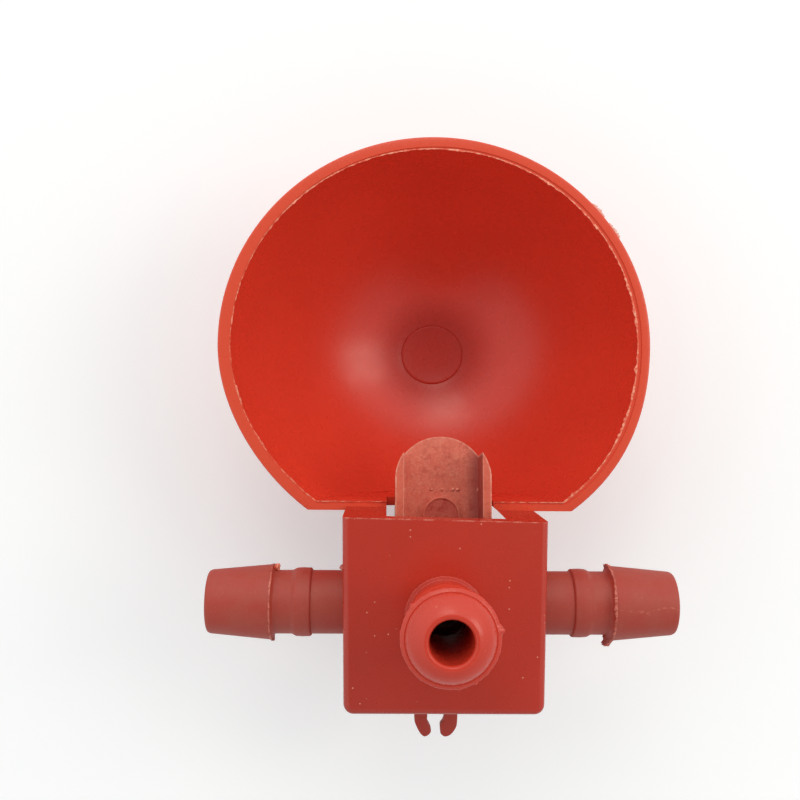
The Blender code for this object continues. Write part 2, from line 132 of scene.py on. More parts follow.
class CupBarbSizes(bpy.types.PropertyGroup):
    line_z: length("Line height", "Height of the hose line's axis", 32.0)
    end: length("End", "From the middle to a barb's tip", CUP_BOX[1][0] / MM)
    neck: length("Neck", "Radius of the hose line", 3.92)
    bore: length("Bore", "Radius of the bores", 2.4)
    tip: length("Tip", "Radius of a barb's tip", 3.88)
    barb: length("Barb", "Radius of a barb's ring", 4.65)
    barb_length: length("Barb length", "Length of a barb's cone", 7.9)
    bead: length("Bead", "Radius of a bead", 4.25)
    bead_place: length("Bead place", "From the hood's side to a bead's middle", 5.2)
    bead_width: length("Bead width", "Width of a bead", 2.5)
    nipple_neck: length("Nipple neck", "Radius of the nipple's neck", 4.3)
    nipple_foot: length("Nipple foot", "Radius of the nipple's foot", 4.8)
    nipple_bead: length("Nipple bead", "Radius of the nipple's bead", 4.6)
    nipple_bead_place: length("Nipple bead place", "Height of that bead", 3.6)
    nipple_ring: length("Nipple ring", "Radius of the nipple's ring", 5.45)
    nipple_ring_place: length("Nipple ring place", "Height of that ring", 10.2)
    mouth: length("Nipple mouth", "Radius of the nipple's flat end", 2.95)


class CupTongueSizes(bpy.types.PropertyGroup):
    width: length("Width", "Width of the channel outside", 12.3)
    wall: length("Wall", "Thickness of its walls", 1.1)
    floor: length("Floor", "Thickness of its floor", 1.2)
    wall_height: length("Wall height", "Height of its walls over the floor", 6.2)
    tail_wall: length("Tail wall", "Height of the walls at the tail", 1.0)
    drop: length("Pivot height", "From the floor to the pivot", 3.7)
    nose: length("Nose", "From the pivot to the nose", 13.9)
    nose_radius: length("Nose radius", "Radius of the nose", 6.2)
    tail: length("Tail", "From the pivot to the tail's end", 9.2)
    step: length("Step", "From the pivot to the step in the walls", 2.78)
    pivot: length("Pivot", "Radius of the trunnions", 1.4)
    reach: length("Reach", "How far a trunnion stands out", 2.2)
    boss: length("Boss", "Radius of the round boss", 2.45)
    boss_height: length("Boss height", "Height of the round boss", 1.3)
    boss_place: length("Boss place", "From the pivot to the boss", 3.3)
    pip_row: length("Pip row", "From the boss to the row of tiny pips", 3.5)
    play: length("Play", "How far it has slid to the right in its seats", 0.32)
    slope: tilt("Slope", "How far the tongue leans down at rest", math.radians(8))


class CupClipSizes(bpy.types.PropertyGroup):
    half_width: length("Half width", "Half the clip's width", 2.93)
    slot: length("Slot", "Width of the slot for the wire", 2.34)
    height: length("Height", "Height of the clip", 7.0)
    rise: length("Rise", "From the hood's bottom to the clip", 1.0)
    plate: length("Plate", "Thickness of the hooked fingers", 1.6)
    rib: length("Rib", "From the fingers' tips to the rib under them", 3.4)


class CupColours(bpy.types.PropertyGroup):
    red: tint("Glossy red", "The bowl", (0.78, 0.060, 0.029))
    # Painted light: the rim's flat top is painted paler than the rest of the bowl.
    rim: tint("Rim", "The rim's flat top", (0.75, 0.082, 0.034))
    roof: tint("Roof red", "The hood and the nipple", (0.52, 0.036, 0.0175))
    # Deep red also serves as painted shade: over the bowl's foot, in the tongue's boss dish and on
    # the clip.
    deep: tint("Deep red", "Darker patches of the moulding", (0.42, 0.026, 0.015))
    matte: tint("Matte red", "Hose barbs and clip", (0.41, 0.067, 0.043))
    tongue: tint("Tongue", "Dull pinkish red of the tongue", (0.72, 0.145, 0.09))
    pale: tint("Pale", "Thin flash and rubbed spots", (0.80, 0.28, 0.19))
    # Painted shade: the roof's darker patch towards its back and its +X side.
    dull: tint("Dull", "The dull patch of the hood's roof", (0.34, 0.032, 0.022))
    # Partly pale specks and flash, and partly a painted highlight on the roof's front edge.
    worn: tint("Worn", "The hood's worn front edge and specks", (0.86, 0.40, 0.30))
    # Painted light: the tongue's wall tops are painted lighter.
    wall_top: tint("Wall tops", "The tops of the tongue's walls", (0.62, 0.085, 0.04))
    beside: tint("Beside", "The tongue's floor in its wall's shade", (0.26, 0.03, 0.03))
    # Partly pale specks and flash, and partly painted highlights on the tongue's edges, pips and
    # boss lip.
    rubbed: tint("Rubbed", "The tongue's rubbed edges and specks", (0.93, 0.46, 0.34))
    floor: tint("Floor", "Pale floor", (0.87, 0.91, 0.93))
    lamp: tint("Lamps", "Light of the two lamps", (1.0, 0.90, 0.78))


class CupStudio(bpy.types.PropertyGroup):
    lens: FloatProperty(name="Lens", description="Focal length in mm", default=43.785)
    height: length("Height", "Camera over the foot", 154.205)
    aside: length("Aside", "Camera along X", 7.086)
    along: length("Along", "Camera along Y", 7.313)
    lean: tilt("Lean", "Tip along Y", 0.00129)
    roll: tilt("Roll", "Tip along X", -0.01415)
    turn: tilt("Turn", "Turn in the picture", 0.00766)


class Value:
    """A socket in a material, which adds its Math nodes when Python sums it up."""

    def __init__(self, paint, socket):
        self.paint = paint
        self.socket = socket

    def __add__(self, other):
        return self.paint.maths("ADD", self, other)

    __radd__ = __add__

    def __sub__(self, other):
        return self.paint.maths("SUBTRACT", self, other)

    def __rsub__(self, other):
        return self.paint.maths("SUBTRACT", other, self)

    def __mul__(self, other):
        return self.paint.maths("MULTIPLY", self, other)

    __rmul__ = __mul__

    def __lt__(self, other):
        return self.paint.maths("LESS_THAN", self, other)

    def __gt__(self, other):
        return self.paint.maths("GREATER_THAN", self, other)

    def __abs__(self):
        return self.paint.maths("ABSOLUTE", self, 0.0)


class Paint:
    """A material or world under way, and the one method that adds its nodes."""

    def __init__(self, owner, shader="Principled BSDF"):
        owner.use_nodes = True
        self.owner = owner
        self.tree = owner.node_tree
        self.shader = self.tree.nodes[shader]

    def node(self, kind, settings=(), inputs=(), output=0):
        made = self.tree.nodes.new(kind)
        for key, value in dict(settings).items():
            setattr(made, key, value)
        for key, value in dict(inputs).items():
            self.feed(made.inputs[key], value)
        return Value(self, made.outputs[output])

    def feed(self, socket, value):
        if isinstance(value, Value):
            self.tree.links.new(value.socket, socket)
        else:
            socket.default_value = value

    def maths(self, operation, first, second):
        return self.node("ShaderNodeMath", {"operation": operation}, {0: first, 1: second})

    def away(self, first, second):
        """How far a point is from a middle, from its two distances."""
        return self.maths("SQRT", first * first + second * second, 0.0)

    def place(self):
        """Where a point is on the piece, in millimetres."""
        spot = self.node("ShaderNodeTexCoord", output="Object")
        return self.node("ShaderNodeVectorMath", {"operation": "SCALE"}, {0: spot, "Scale": 1 / MM})

    def axes(self, spot):
        made = self.tree.nodes.new("ShaderNodeSeparateXYZ")
        self.feed(made.inputs[0], spot)
        return [Value(self, socket) for socket in made.outputs]

    def stretched(self, spot, scale):
        return self.node("ShaderNodeVectorMath", {"operation": "MULTIPLY"}, {0: spot, 1: scale})

    def grain(self, spot, scale, detail=3.0, roughness=0.5):
        """Noise from 0 to 1, with its scale in turns a millimetre."""
        settings = {"Vector": spot, "Scale": scale, "Detail": detail, "Roughness": roughness}
        return self.node("ShaderNodeTexNoise", inputs=settings)

    def ramp(self, value, low, high):
        """0 below low, 1 above high, and smooth between."""
        settings = {"Value": value, "From Min": low, "From Max": high}
        return self.node("ShaderNodeMapRange", {"interpolation_type": "SMOOTHSTEP"}, settings)

    def mix(self, factor, first, second):
        """From the first colour to the second."""
        inputs = {0: factor, 6: opaque(first), 7: opaque(second)}
        return self.node("ShaderNodeMix", {"data_type": "RGBA"}, inputs, 2)

    def specks(self, spot, scale, size, share):
        """Small round specks in a share of the cells."""
        cell = {"Vector": spot, "Scale": scale}
        distance = self.node("ShaderNodeTexVoronoi", inputs=cell)
        colour = self.node("ShaderNodeTexVoronoi", inputs=cell, output="Color")
        pick = self.axes(colour)[0] > 1 - share
        return (1 - self.ramp(distance, size * 0.5, size)) * pick

    def bump(self, height, depth):
        """A normal from a height in 0 to 1 and its depth in metres."""
        return self.node("ShaderNodeBump", inputs={"Height": height, "Distance": depth})

    def set(self, **values):
        for key, value in values.items():
            self.feed(self.shader.inputs[key.replace("_", " ")], value)


def opaque(colour):
    return colour if isinstance(colour, Value) else (*colour, 1.0)


def new_paint(name):
    """A new material, and where its points are."""
    paint = Paint(bpy.data.materials.new(name))
    return paint, paint.place()


def moulding_paint(name, first, colours, uneven):
    """Glossy orange red plastic with soft patches, faint flow marks, fine grain and pale specks."""
    paint, spot = new_paint(name)
    patches = paint.ramp(paint.grain(spot, 0.09, 4.0), 0.35, 0.68)
    flow = paint.grain(paint.stretched(spot, (0.16, 0.9, 0.3)), 1.0, 3.0)
    colour = paint.mix((patches * 0.3 + flow * 0.15) * uneven, first, colours.deep)
    dots = paint.specks(spot, 0.32, 0.035, 0.35)
    rub = paint.ramp(paint.grain(spot, 2.6, 5.0, 0.7), 0.66, 0.8) * 0.08
    colour = paint.mix(dots * 0.75 + rub, colour, colours.pale)
    fine = paint.grain(spot, 5.0, 2.0)
    wavy = paint.grain(spot, 0.35, 2.0)
    height = (fine * 0.25 + flow * 0.25 + wavy * 0.5) * uneven
    paint.set(
        Base_Color=colour, Roughness=0.22 + paint.grain(spot, 0.5, 3.0) * 0.12,
        Normal=paint.bump(height, 0.03 * MM), IOR=1.5,
    )
    return paint, spot, colour


def bowl_paint(colours, bowl):
    """The bowl's plastic, with painted light that makes the rim's flat top a little paler, and
    painted shade that darkens the thick bottom over the foot, where no light comes through."""
    paint, spot, colour = moulding_paint("red moulding", colours.red, colours, 0.3)
    x, y, z = paint.axes(spot)
    top, foot = bowl.height / MM, bowl.foot / MM
    out = paint.away(x, y)
    # Painted shade: the bottom over the foot is darkened.
    thick = 1 - paint.ramp(out, foot * 0.8, foot * 2.1)
    colour = paint.mix(thick * 0.75, colour, colours.deep)
    # Painted light: the rim's flat top is painted paler.
    flat = paint.ramp(z, top - 0.35, top - 0.05)
    paint.set(Base_Color=paint.mix(flat * 0.8, colour, colours.rim))


def roof_paint(colours, hood):
    """The hood's plastic, with painted shade that darkens the roof towards its back and its +X
    side, a pale broken front edge that is partly flash and partly a painted highlight, and more
    pale specks. The nipple above it is a little redder."""
    paint, spot, colour = moulding_paint("roof moulding", colours.roof, colours, 1.0)
    x, y, z = paint.axes(spot)
    front, top = hood.front / MM, hood.top / MM
    behind = y + x * hood.slant - front
    # The pale broken line on the roof's front edge is partly flash and partly a painted highlight.
    edge = paint.ramp(z, top - 0.25, top - 0.1) * (1 - paint.ramp(behind, 0.04, 0.18))
    worn = edge * paint.ramp(paint.grain(spot, 1.3, 4.0, 0.7), 0.38, 0.62)
    dots = paint.specks(spot, 1.2, 0.12, 0.16)
    # Painted shade: the roof darkens towards its back and its +X side.
    dull = paint.ramp(behind * 0.7 + x * 0.5, 6.0, 24.0) * (z > top - 1.5)
    colour = paint.mix(dull * 0.55, colour, colours.dull)
    colour = paint.mix(paint.ramp(z, top + 0.3, top + 1.5) * 0.4, colour, colours.red)
    colour = paint.mix(worn * 0.5 + dots * 0.95, colour, colours.worn)
    paint.set(Base_Color=colour)


def matte_paint(colours, barbs, hood):
    """The hose barbs' dull grain with a faint parting streak, and the clip, darkened with painted
    shade.
    """
    paint, spot = new_paint("matte red moulding")
    barbs_y, barbs_z = VALVE_Y / MM, barbs.line_z / MM
    ring = (barbs.barb_length - barbs.end) / MM
    clip_y = (hood.front + hood.long) / MM
    patches = paint.ramp(paint.grain(spot, 0.3, 4.0), 0.35, 0.7)
    turning = paint.grain(paint.stretched(spot, (3.2, 0.35, 0.35)), 1.0, 3.0)
    colour = paint.mix(patches * 0.4 + turning * 0.25, colours.matte, colours.deep)
    bloom = paint.ramp(paint.grain(spot, 3.4, 4.0, 0.7), 0.56, 0.8)
    dots = paint.specks(spot, 0.8, 0.05, 0.3)
    x, y, z = paint.axes(spot)
    sway = (paint.grain(spot, 0.45, 2.0) - 0.5) * 2.0
    parting = near(paint, y + sway, barbs_y, 0.14) * (z > barbs_z) * (x < ring)
    parting = parting * paint.ramp(paint.grain(spot, 2.1, 5.0, 0.75), 0.45, 0.62)
    colour = paint.mix(bloom * 0.2 + dots * 0.6 + parting * 0.3, colour, colours.pale)
    # Painted shade: everything behind the hood's back, the clip, is darkened.
    colour = paint.mix(paint.ramp(y, clip_y - 0.3, clip_y + 0.4) * 0.5, colour, colours.deep)
    height = paint.grain(spot, 7.0, 3.0, 0.6) * 0.6 + turning * 0.4
    paint.set(
        Base_Color=colour, Roughness=0.52 + bloom * 0.15, Normal=paint.bump(height, 0.05 * MM),
        IOR=1.5,
    )


def near(paint, value, middle, width):
    """1 where a value is within the width of the middle, and 0 beyond it."""
    return 1 - paint.ramp(abs(value - middle), width * 0.4, width)


def tongue_edges(paint, level, s):
    """Masks of the tongue held level: thin edges, wall tops, the boss's dish and lip, and the floor
    beside the right wall. The places are in millimetres."""
    x, y, z = paint.axes(level)
    x = x + s.play / MM
    across = abs(x)
    pivot_y, pivot_z = HINGE[1] / MM, HINGE[2] / MM
    half, inner = s.width / 2 / MM, (s.width / 2 - s.wall) / MM
    wall_top = pivot_z + (s.wall_height - s.drop) / MM
    floor_top = pivot_z - s.drop / MM
    tops = paint.ramp(z, wall_top - 0.2, wall_top - 0.1)
    sides = tops * (near(paint, across, half, 0.2) + near(paint, across, inner, 0.13) * 0.7)
    row = pivot_y - (s.boss_place + s.pip_row) / MM
    pips = near(paint, y, row, 0.25) * near(paint, z, floor_top + 0.15, 0.16)
    nose = y - (pivot_y - (s.nose - s.nose_radius) / MM)
    reach = paint.away(x, nose)
    arc_edge = near(paint, reach, s.nose_radius / MM, 0.2) * (1 - paint.ramp(nose, 0.0, 0.5))
    arc_edge = arc_edge * paint.ramp(z, floor_top - 0.25, floor_top - 0.1)
    ahead = y - (pivot_y - s.boss_place / MM)
    round_boss = paint.away(x, ahead)
    boss = s.boss / MM
    low = 1 - paint.ramp(z, floor_top + 1.4, floor_top + 1.6)
    dish = (1 - paint.ramp(round_boss, boss - 0.3, boss)) * low
    lip = near(paint, round_boss, boss, 0.14) * low
    beside = (1 - paint.ramp(x + inner, 0.0, 2.3)) * (across < inner + 0.08) * (1 - tops)
    return sides + arc_edge + pips, tops, dish, lip, beside


def tongue_paint(colours, sizes):
    """The tongue's chalky pinkish plastic with pale bloom, fine grains, pale edges that are partly
    flash and partly painted highlight, painted light on the wall tops, and painted shade in the
    boss's dish and beside the right wall.
    """
    paint, spot = new_paint("dull red moulding")
    centre = {"Center": [value / MM for value in HINGE], "Angle": sizes.slope, "Vector": spot}
    turned_back = {"rotation_type": "X_AXIS", "invert": True}
    level = paint.node("ShaderNodeVectorRotate", turned_back, centre)
    edges, tops, dish, lip, beside = tongue_edges(paint, level, sizes)
    cloud = paint.ramp(paint.grain(spot, 0.42, 5.0, 0.62), 0.40, 0.62)
    grains = paint.ramp(paint.grain(spot, 2.6, 5.0, 0.85), 0.44, 0.62)
    colour = paint.mix(cloud * 0.2 + grains * 0.65, colours.tongue, colours.pale)
    shade = paint.ramp(paint.grain(spot, 0.8, 5.0, 0.8), 0.48, 0.70) * 0.5
    # Painted shade in the boss's dish, with random darker patches.
    colour = paint.mix(shade + dish * 0.6, colour, colours.deep)
    # Painted shade on the floor beside the right wall.
    colour = paint.mix(beside * 0.7, colour, colours.beside)
    # Painted light: the wall tops are painted lighter than the floor.
    colour = paint.mix(tops * 0.5, colour, colours.wall_top)
    dots = paint.specks(spot, 1.1, 0.07, 0.35)
    broken = paint.ramp(paint.grain(spot, 1.7, 4.0, 0.7), 0.28, 0.6)
    # Pale lines on the edges and pips, partly flash and partly painted highlight, and a painted
    # highlight on the boss's lip.
    worn = (edges * 0.6 + lip * 0.12) * broken
    colour = paint.mix(dots * 0.6 + worn, colour, colours.rubbed)
    height = paint.grain(spot, 6.0, 4.0, 0.7) * 0.7 + cloud * 0.3
    paint.set(
        Base_Color=colour, Roughness=0.55 + grains * 0.2, Normal=paint.bump(height, 0.06 * MM),
        IOR=1.48,
    )


def flash_paint(name, first, second):
    """Thin torn flash, which looks pale because light passes through it."""
    paint, spot = new_paint(name)
    thick = paint.ramp(paint.grain(spot, 1.5, 4.0, 0.75), 0.42, 0.56)
    colour = paint.mix(thick * 0.9, first, second)
    paint.set(
        Base_Color=colour, Roughness=0.4 + thick * 0.15,
        Normal=paint.bump(paint.grain(spot, 5.0, 3.0), 0.04 * MM), IOR=1.5,
    )


def plain_paint(name, first, second, scale, roughness, metallic=0.0):
    """A small inner piece's finish: two shades, uneven gloss and fine turning marks."""
    paint, spot = new_paint(name)
    patches = paint.grain(spot, scale, 4.0)
    marks = paint.grain(paint.stretched(spot, (0.3, 0.3, 9.0)), 1.0, 2.0)
    paint.set(
        Base_Color=paint.mix(patches, first, second), Roughness=roughness + marks * 0.12,
        Normal=paint.bump(marks * 0.7 + patches * 0.3, 0.02 * MM), Metallic=metallic,
    )


def make_object(name, bm):
    """Turns a bmesh into an object, with its faces pointing out."""
    bmesh.ops.remove_doubles(bm, verts=bm.verts, dist=MERGE)
    bmesh.ops.recalc_face_normals(bm, faces=bm.faces)
    mesh = bpy.data.meshes.new(name)
    bm.to_mesh(mesh)
    bm.free()
    obj = bpy.data.objects.new(name, mesh)
    bpy.context.scene.collection.objects.link(obj)
    return obj


def combine(target, tool, operation):
    """Joins the tool to the target, or cuts it away, and removes the tool."""
    modifier = target.modifiers.new("combine", "BOOLEAN")
    modifier.solver = "EXACT"
    modifier.operation = operation
    modifier.object = tool
    graph = bpy.context.evaluated_depsgraph_get()
    result = bpy.data.meshes.new_from_object(target.evaluated_get(graph))
    target.modifiers.clear()
    bm = bmesh.new()
    bm.from_mesh(result)
    bmesh.ops.remove_doubles(bm, verts=bm.verts, dist=MERGE)
    bmesh.ops.dissolve_degenerate(bm, edges=bm.edges, dist=MERGE)
    bm.to_mesh(result)
    bm.free()
    target.data = result
    bpy.data.objects.remove(tool, do_unlink=True)


def add(target, tool):
    combine(target, tool, "UNION")


def cut(target, tool):
    combine(target, tool, "DIFFERENCE")


def dress(obj, material, body, slot, *nodes):
    """Gives a finished piece its material and its body, and hides the nodes that it stands for. The
    slot is not used.
    """
    obj.data.materials.clear()
    obj.data.materials.append(bpy.data.materials[material])
    obj.data.shade_smooth()
    obj.data.set_sharp_from_angle(angle=SHARP)
    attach(obj, body)
    if nodes:
        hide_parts(*nodes)


def box_mesh(low, high):
    bm = bmesh.new()
    bmesh.ops.create_cube(bm, size=1.0)
    bmesh.ops.scale(bm, vec=Vector(high) - Vector(low), verts=bm.verts)
    bmesh.ops.translate(bm, vec=(Vector(high) + Vector(low)) / 2, verts=bm.verts)
    return bm


def box(name, low, high):
    return make_object(name, box_mesh(low, high))


def turned_mesh(profile, segments):
    """A solid of revolution about Z. The profile is a list of (radius, height) points."""
    bm = bmesh.new()
    points = [bm.verts.new((radius, 0.0, height)) for radius, height in profile]
    edges = [bm.edges.new(pair) for pair in zip(points, points[1:])]
    if profile[0][0] > 0:
        edges.append(bm.edges.new((points[-1], points[0])))
    bmesh.ops.spin(
        bm, geom=points + edges, cent=(0, 0, 0), axis=(0, 0, 1), angle=2 * math.pi, steps=segments,
        use_merge=True,
    )
    bmesh.ops.remove_doubles(bm, verts=bm.verts, dist=MERGE)
    return bm


def turned(name, profile, segments, place=(0, 0, 0), along="Z"):
    """A turned solid moved to its place, with its axis along Z or X."""
    bm = turned_mesh(profile, segments)
    turn = math.pi / 2 if along == "X" else 0.0
    bmesh.ops.rotate(bm, cent=(0, 0, 0), matrix=Matrix.Rotation(turn, 3, "Y"), verts=bm.verts)
    bmesh.ops.translate(bm, vec=place, verts=bm.verts)
    return make_object(name, bm)


def rod(name, radius, start, end, place=(0, 0, 0), along="Z", segments=48):
    profile = [(0.0, start), (radius, start), (radius, end), (0.0, end)]
    return turned(name, profile, segments, place, along)


def arc(centre, radius, start, end, steps):
    """Points on an arc, angles in degrees, both ends included."""
    angles = [math.radians(start + (end - start) * i / steps) for i in range(steps + 1)]
    return [(centre[0] + radius * math.cos(a), centre[1] + radius * math.sin(a)) for a in angles]


def rounded(points, radius, steps=4):
    """A profile with each inner corner replaced by a small arc-like curve of the given reach."""
    made = [points[0]]
    for before, corner, after in zip(points, points[1:], points[2:]):
        here = Vector(corner)
        back = Vector(before) - here
        ahead = Vector(after) - here
        reach = min(radius, back.length * 0.45, ahead.length * 0.45)
        start = here + back.normalized() * reach
        end = here + ahead.normalized() * reach
        for i in range(steps + 1):
            t = i / steps
            made.append(tuple(start * (1 - t) ** 2 + here * 2 * t * (1 - t) + end * t**2))
    made.append(points[-1])
    return made


def rise_of(edge):
    """How far an edge goes up or down."""
    return abs(edge.verts[0].co.z - edge.verts[1].co.z)


def bevel_edges(bm, chosen, width, segments):
    bmesh.ops.bevel(
        bm, geom=chosen, offset=width, offset_type="OFFSET", segments=segments, profile=0.5,
        affect="EDGES", material=-1,
    )


def extruded_mesh(outline, bottom, top):
    """A prism over an outline of (x, y) points."""
    bm = bmesh.new()
    corners = [bm.verts.new((x, y, bottom)) for x, y in outline]
    face = bm.faces.new(corners)
    lifted = bmesh.ops.extrude_face_region(bm, geom=[face])
    moved = [v for v in lifted["geom"] if isinstance(v, bmesh.types.BMVert)]
    bmesh.ops.translate(bm, vec=(0, 0, top - bottom), verts=moved)
    return bm


BOWL_SEGMENTS = 192
BOWL_STEPS = 44


def half_bowl(name, profile, ratio, cut_at):
    """A turned bowl form, drawn in along Y and cut off flat at the back."""
    bm = turned_mesh(profile, BOWL_SEGMENTS)
    bmesh.ops.scale(bm, vec=(1.0, ratio, 1.0), verts=bm.verts)
    everything = bm.verts[:] + bm.edges[:] + bm.faces[:]
    ring = bmesh.ops.bisect_plane(
        bm, geom=everything, plane_co=(0, cut_at, 0), plane_no=(0, 1, 0), clear_outer=True
    )
    rim = [e for e in ring["geom_cut"] if isinstance(e, bmesh.types.BMEdge)]
    bmesh.ops.contextual_create(bm, geom=rim)
    return make_object(name, bm)


def bowl_outside(s):
    """Outer profile: a foot with soft edges, and a quarter circle up to the rounded rim."""
    start = math.degrees(math.asin(s.foot / s.half_width))
    edge = 0.25 * MM
    points = [(0.0, 0.0), (s.foot - edge, 0.0), (s.foot, edge), (s.foot, s.foot_height * 0.6)]
    for i in range(1, BOWL_STEPS):
        angle = math.radians(start + (90 - start) * i / BOWL_STEPS)
        points.append((s.half_width * math.sin(angle), s.height * (1 - math.cos(angle))))
    top = (s.half_width - edge, s.height - edge)
    points += arc(top, edge, 0, 90, 4)
    return points + [(0.0, s.height)]


def bowl_inside(s):
    """Inner profile, from the round step at the bottom to above the rim."""
    radius = s.half_width - s.wall
    depth = s.height - s.floor
    floor = s.floor + s.pad_height
    low = s.height - depth * math.cos(math.asin(s.pad / radius))
    lip = 0.07 * MM
    points = [
        (0.0, floor), (s.pad - 0.60 * MM, floor), (s.pad - 0.42 * MM, floor + lip),
        (s.pad - 0.24 * MM, floor + lip), (s.pad - 0.10 * MM, floor), (s.pad, low - 0.04 * MM),
        (s.pad + 0.14 * MM, low),
    ]
    first = math.degrees(math.asin((s.pad + 0.3 * MM) / radius))
    for i in range(1, BOWL_STEPS + 1):
        angle = math.radians(first + (90 - first) * i / BOWL_STEPS)
        points.append((radius * math.sin(angle), s.height - depth * math.cos(angle)))
    above = s.height + 2 * MM
    return points + [(radius, above), (0.0, above)]


def set_of(point, s):
    """How far the mould's set has moved a point of the bowl aside: most at the rim's widest."""
    up = min(max(point.z / s.height, 0.0), 1.0)
    ahead = min(max((s.back_front - point.y) / s.back_front, 0.0), 1.0)
    ease = ahead * ahead * (3 - 2 * ahead)
    return s.set_over * ease * up * up


class CUP_OT_bowl(bpy.types.Operator):
    """Moulds the bowl with its foot, its flat back wall and the narrow step inside its rim"""

    bl_idname = "cup.bowl"
    bl_label = "Bowl"

    def execute(self, context):
        s = context.scene.cup_bowl
        hood = context.scene.cup_hood
        ratio = s.half_length / s.half_width
        bowl = half_bowl("bowl", bowl_outside(s), ratio, s.back_front + s.back_wall)
        cut(bowl, half_bowl("bowl_space", bowl_inside(s), ratio, s.back_front))
        drop, above = s.height - s.rebate_drop, s.height + MM
        wide = s.half_width - s.wall + s.rebate
        step = [(0.0, drop), (wide, drop), (wide, above), (0.0, above)]
        rebate = half_bowl("rebate", step, ratio, s.back_front + s.back_wall * 0.25)
        rebate.data.transform(Matrix.Translation((-s.rebate * 0.9, 0, 0)))
        cut(bowl, rebate)
        half = mouth_half(context.scene)
        low = (-half, s.back_front - MM, hood.sill)
        cut(bowl, box("mouth", low, (half, s.back_front + 2 * MM, above)))
        cut(bowl, cut_back("cut_back", hood, half, hood.sill, above))
        for vert in bowl.data.vertices:
            vert.co.x += set_of(vert.co, s)
        dress(bowl, "red moulding", "cup", "red_moulding", "cup_body")
        return {"FINISHED"}


def hood_form(s, inset, low_z, high_z, corner, edge):
    """The hood's form, narrower at the back, with round back corners and roof edges."""
    back = s.front + s.long
    front = s.front + (s.front_wall if inset else 0.0)
    half = s.width / 2 - inset
    bm = box_mesh((-half, front, low_z), (half, back - inset, high_z))
    middle = s.front + s.long / 2
    for vert in bm.verts:
        if vert.co.y > middle:
            vert.co.x *= s.back_width / s.width
        else:
            vert.co.y -= vert.co.x * s.slant
    if corner:
        upright = [
            e for e in bm.edges if all(v.co.y > middle for v in e.verts) and rise_of(e) > corner
        ]
        bevel_edges(bm, upright, corner, 10)
    if edge:
        roof = high_z - edge
        top = [e for e in bm.edges if all(v.co.z > roof for v in e.verts)]
        bevel_edges(bm, [e for e in top if max(v.co.y for v in e.verts) >= front + MM], edge, 6)
    return bm


def mouth_half(scene):
    """Half the width of the mouth round the tongue."""
    return scene.cup_tongue.width / 2 + scene.cup_hood.mouth_clearance


def cut_back(name, s, half, low_z, high_z):
    """A wedge that thins the mouth's right side from behind, so that one can look past it."""
    spread, depth = 3.2 * MM, 2.6 * MM
    front = s.front - 0.55 * MM + s.lead
    inner, back = -half + MM, front + depth
    outline = [(inner, front), (-half, front), (-half - spread, back), (inner, back)]
    return make_object(name, extruded_mesh(outline, low_z, high_z))


class CUP_OT_hood(bpy.types.Operator):
    """Moulds the hood with its mouth, its valve chamber and the ears that carry the tongue"""

    bl_idname = "cup.hood"
    bl_label = "Hood"

    def execute(self, context):
        s = context.scene.cup_hood
        bowl = context.scene.cup_bowl
        bottom = s.top - s.height
        hood = make_object("hood", hood_form(s, 0.0, bottom, s.top, s.corner, s.edge))
        space = hood_form(s, s.wall, bottom - MM, s.top - s.roof, 0.6 * MM, 0.0)
        cut(hood, make_object("hood_space", space))
        half = mouth_half(context.scene)
        wide = half + s.run
        past, lintel = s.front + s.front_wall + MM, s.top - s.lintel
        behind, under = bowl.back_front + bowl.back_wall, bottom - MM
        cut(hood, box("mouth", (-half, s.front - MM, s.sill), (half, past, lintel)))
        cut(hood, box("run", (-half, behind, under), (half, past, lintel)))
        cut(hood, box("low_run", (-wide, behind, under), (wide, past, bowl.height - s.run)))
        cut(hood, cut_back("cut_back", s, half, under, lintel))
        self.chamber(hood, s, context.scene.cup_barbs)
        self.ears(hood, s, context.scene.cup_tongue)
        dress(hood, "roof moulding", "cup", "red_moulding", "cup_body")
        return {"FINISHED"}

    def chamber(self, hood, s, barbs):
        """The valve chamber under the roof, with the bores that cross in it."""
        place, cross = (0, VALVE_Y, 0), (0, VALVE_Y, barbs.line_z)
        top = s.top - s.roof + WELD
        add(hood, rod("column", s.chamber, CHAMBER_BOTTOM, top, place, segments=64))
        cut(hood, rod("way", barbs.neck - WELD, -s.width, s.width, cross, "X"))
        cut(hood, rod("up", barbs.bore + MM, barbs.line_z, s.top + MM, place))
        cut(hood, rod("down", s.chamber_bore, CHAMBER_BOTTOM - MM, barbs.line_z, place))

    def ears(self, hood, s, tongue):
        """Two ears with a round seat and a narrower slot that opens down."""
        y, z = HINGE[1], HINGE[2]
        play, thick = 0.5 * MM, 2.0 * MM
        half, drop, slot = 2.2 * MM, 2.0 * MM, 1.1 * MM
        seat = tongue.pivot + 0.3 * MM
        inner = tongue.width / 2 + play
        for side in (-1, 1):
            low, high = sorted((side * inner, side * (inner + thick)))
            bm = box_mesh((low, y - half, z - drop), (high, y + half, s.top - s.roof + WELD))
            upright = [e for e in bm.edges if rise_of(e) > drop]
            bevel_edges(bm, upright, 0.3 * MM, 3)
            add(hood, make_object("ear", bm))
            low, high = low - MM, high + MM
            cut(hood, rod("seat", seat, low, high, (0, y, z), "X"))
            cut(hood, box("slot", (low, y - slot, z - drop - MM), (high, y + slot, z)))


def barb_outline(s, hood):
    """Outer points of one barb, from inside the hood's wall to the tip."""
    side = hood.width / 2
    bead = side + s.bead_place
    half = s.bead_width / 2
    ring = s.end - s.barb_length
    return [
        (s.neck, bead - half), (s.bead - 0.03 * MM, bead - half + 0.16 * MM), (s.bead, bead),
        (s.bead - 0.05 * MM, bead + half * 0.6), (s.neck, bead + half), (s.neck, ring - 0.45 * MM),
        (s.barb, ring), (s.tip + 0.05 * MM, s.end - 0.35 * MM), (s.tip - 0.12 * MM, s.end),
        (s.bore + 0.15 * MM, s.end), (s.bore, s.end - 0.2 * MM),
    ]


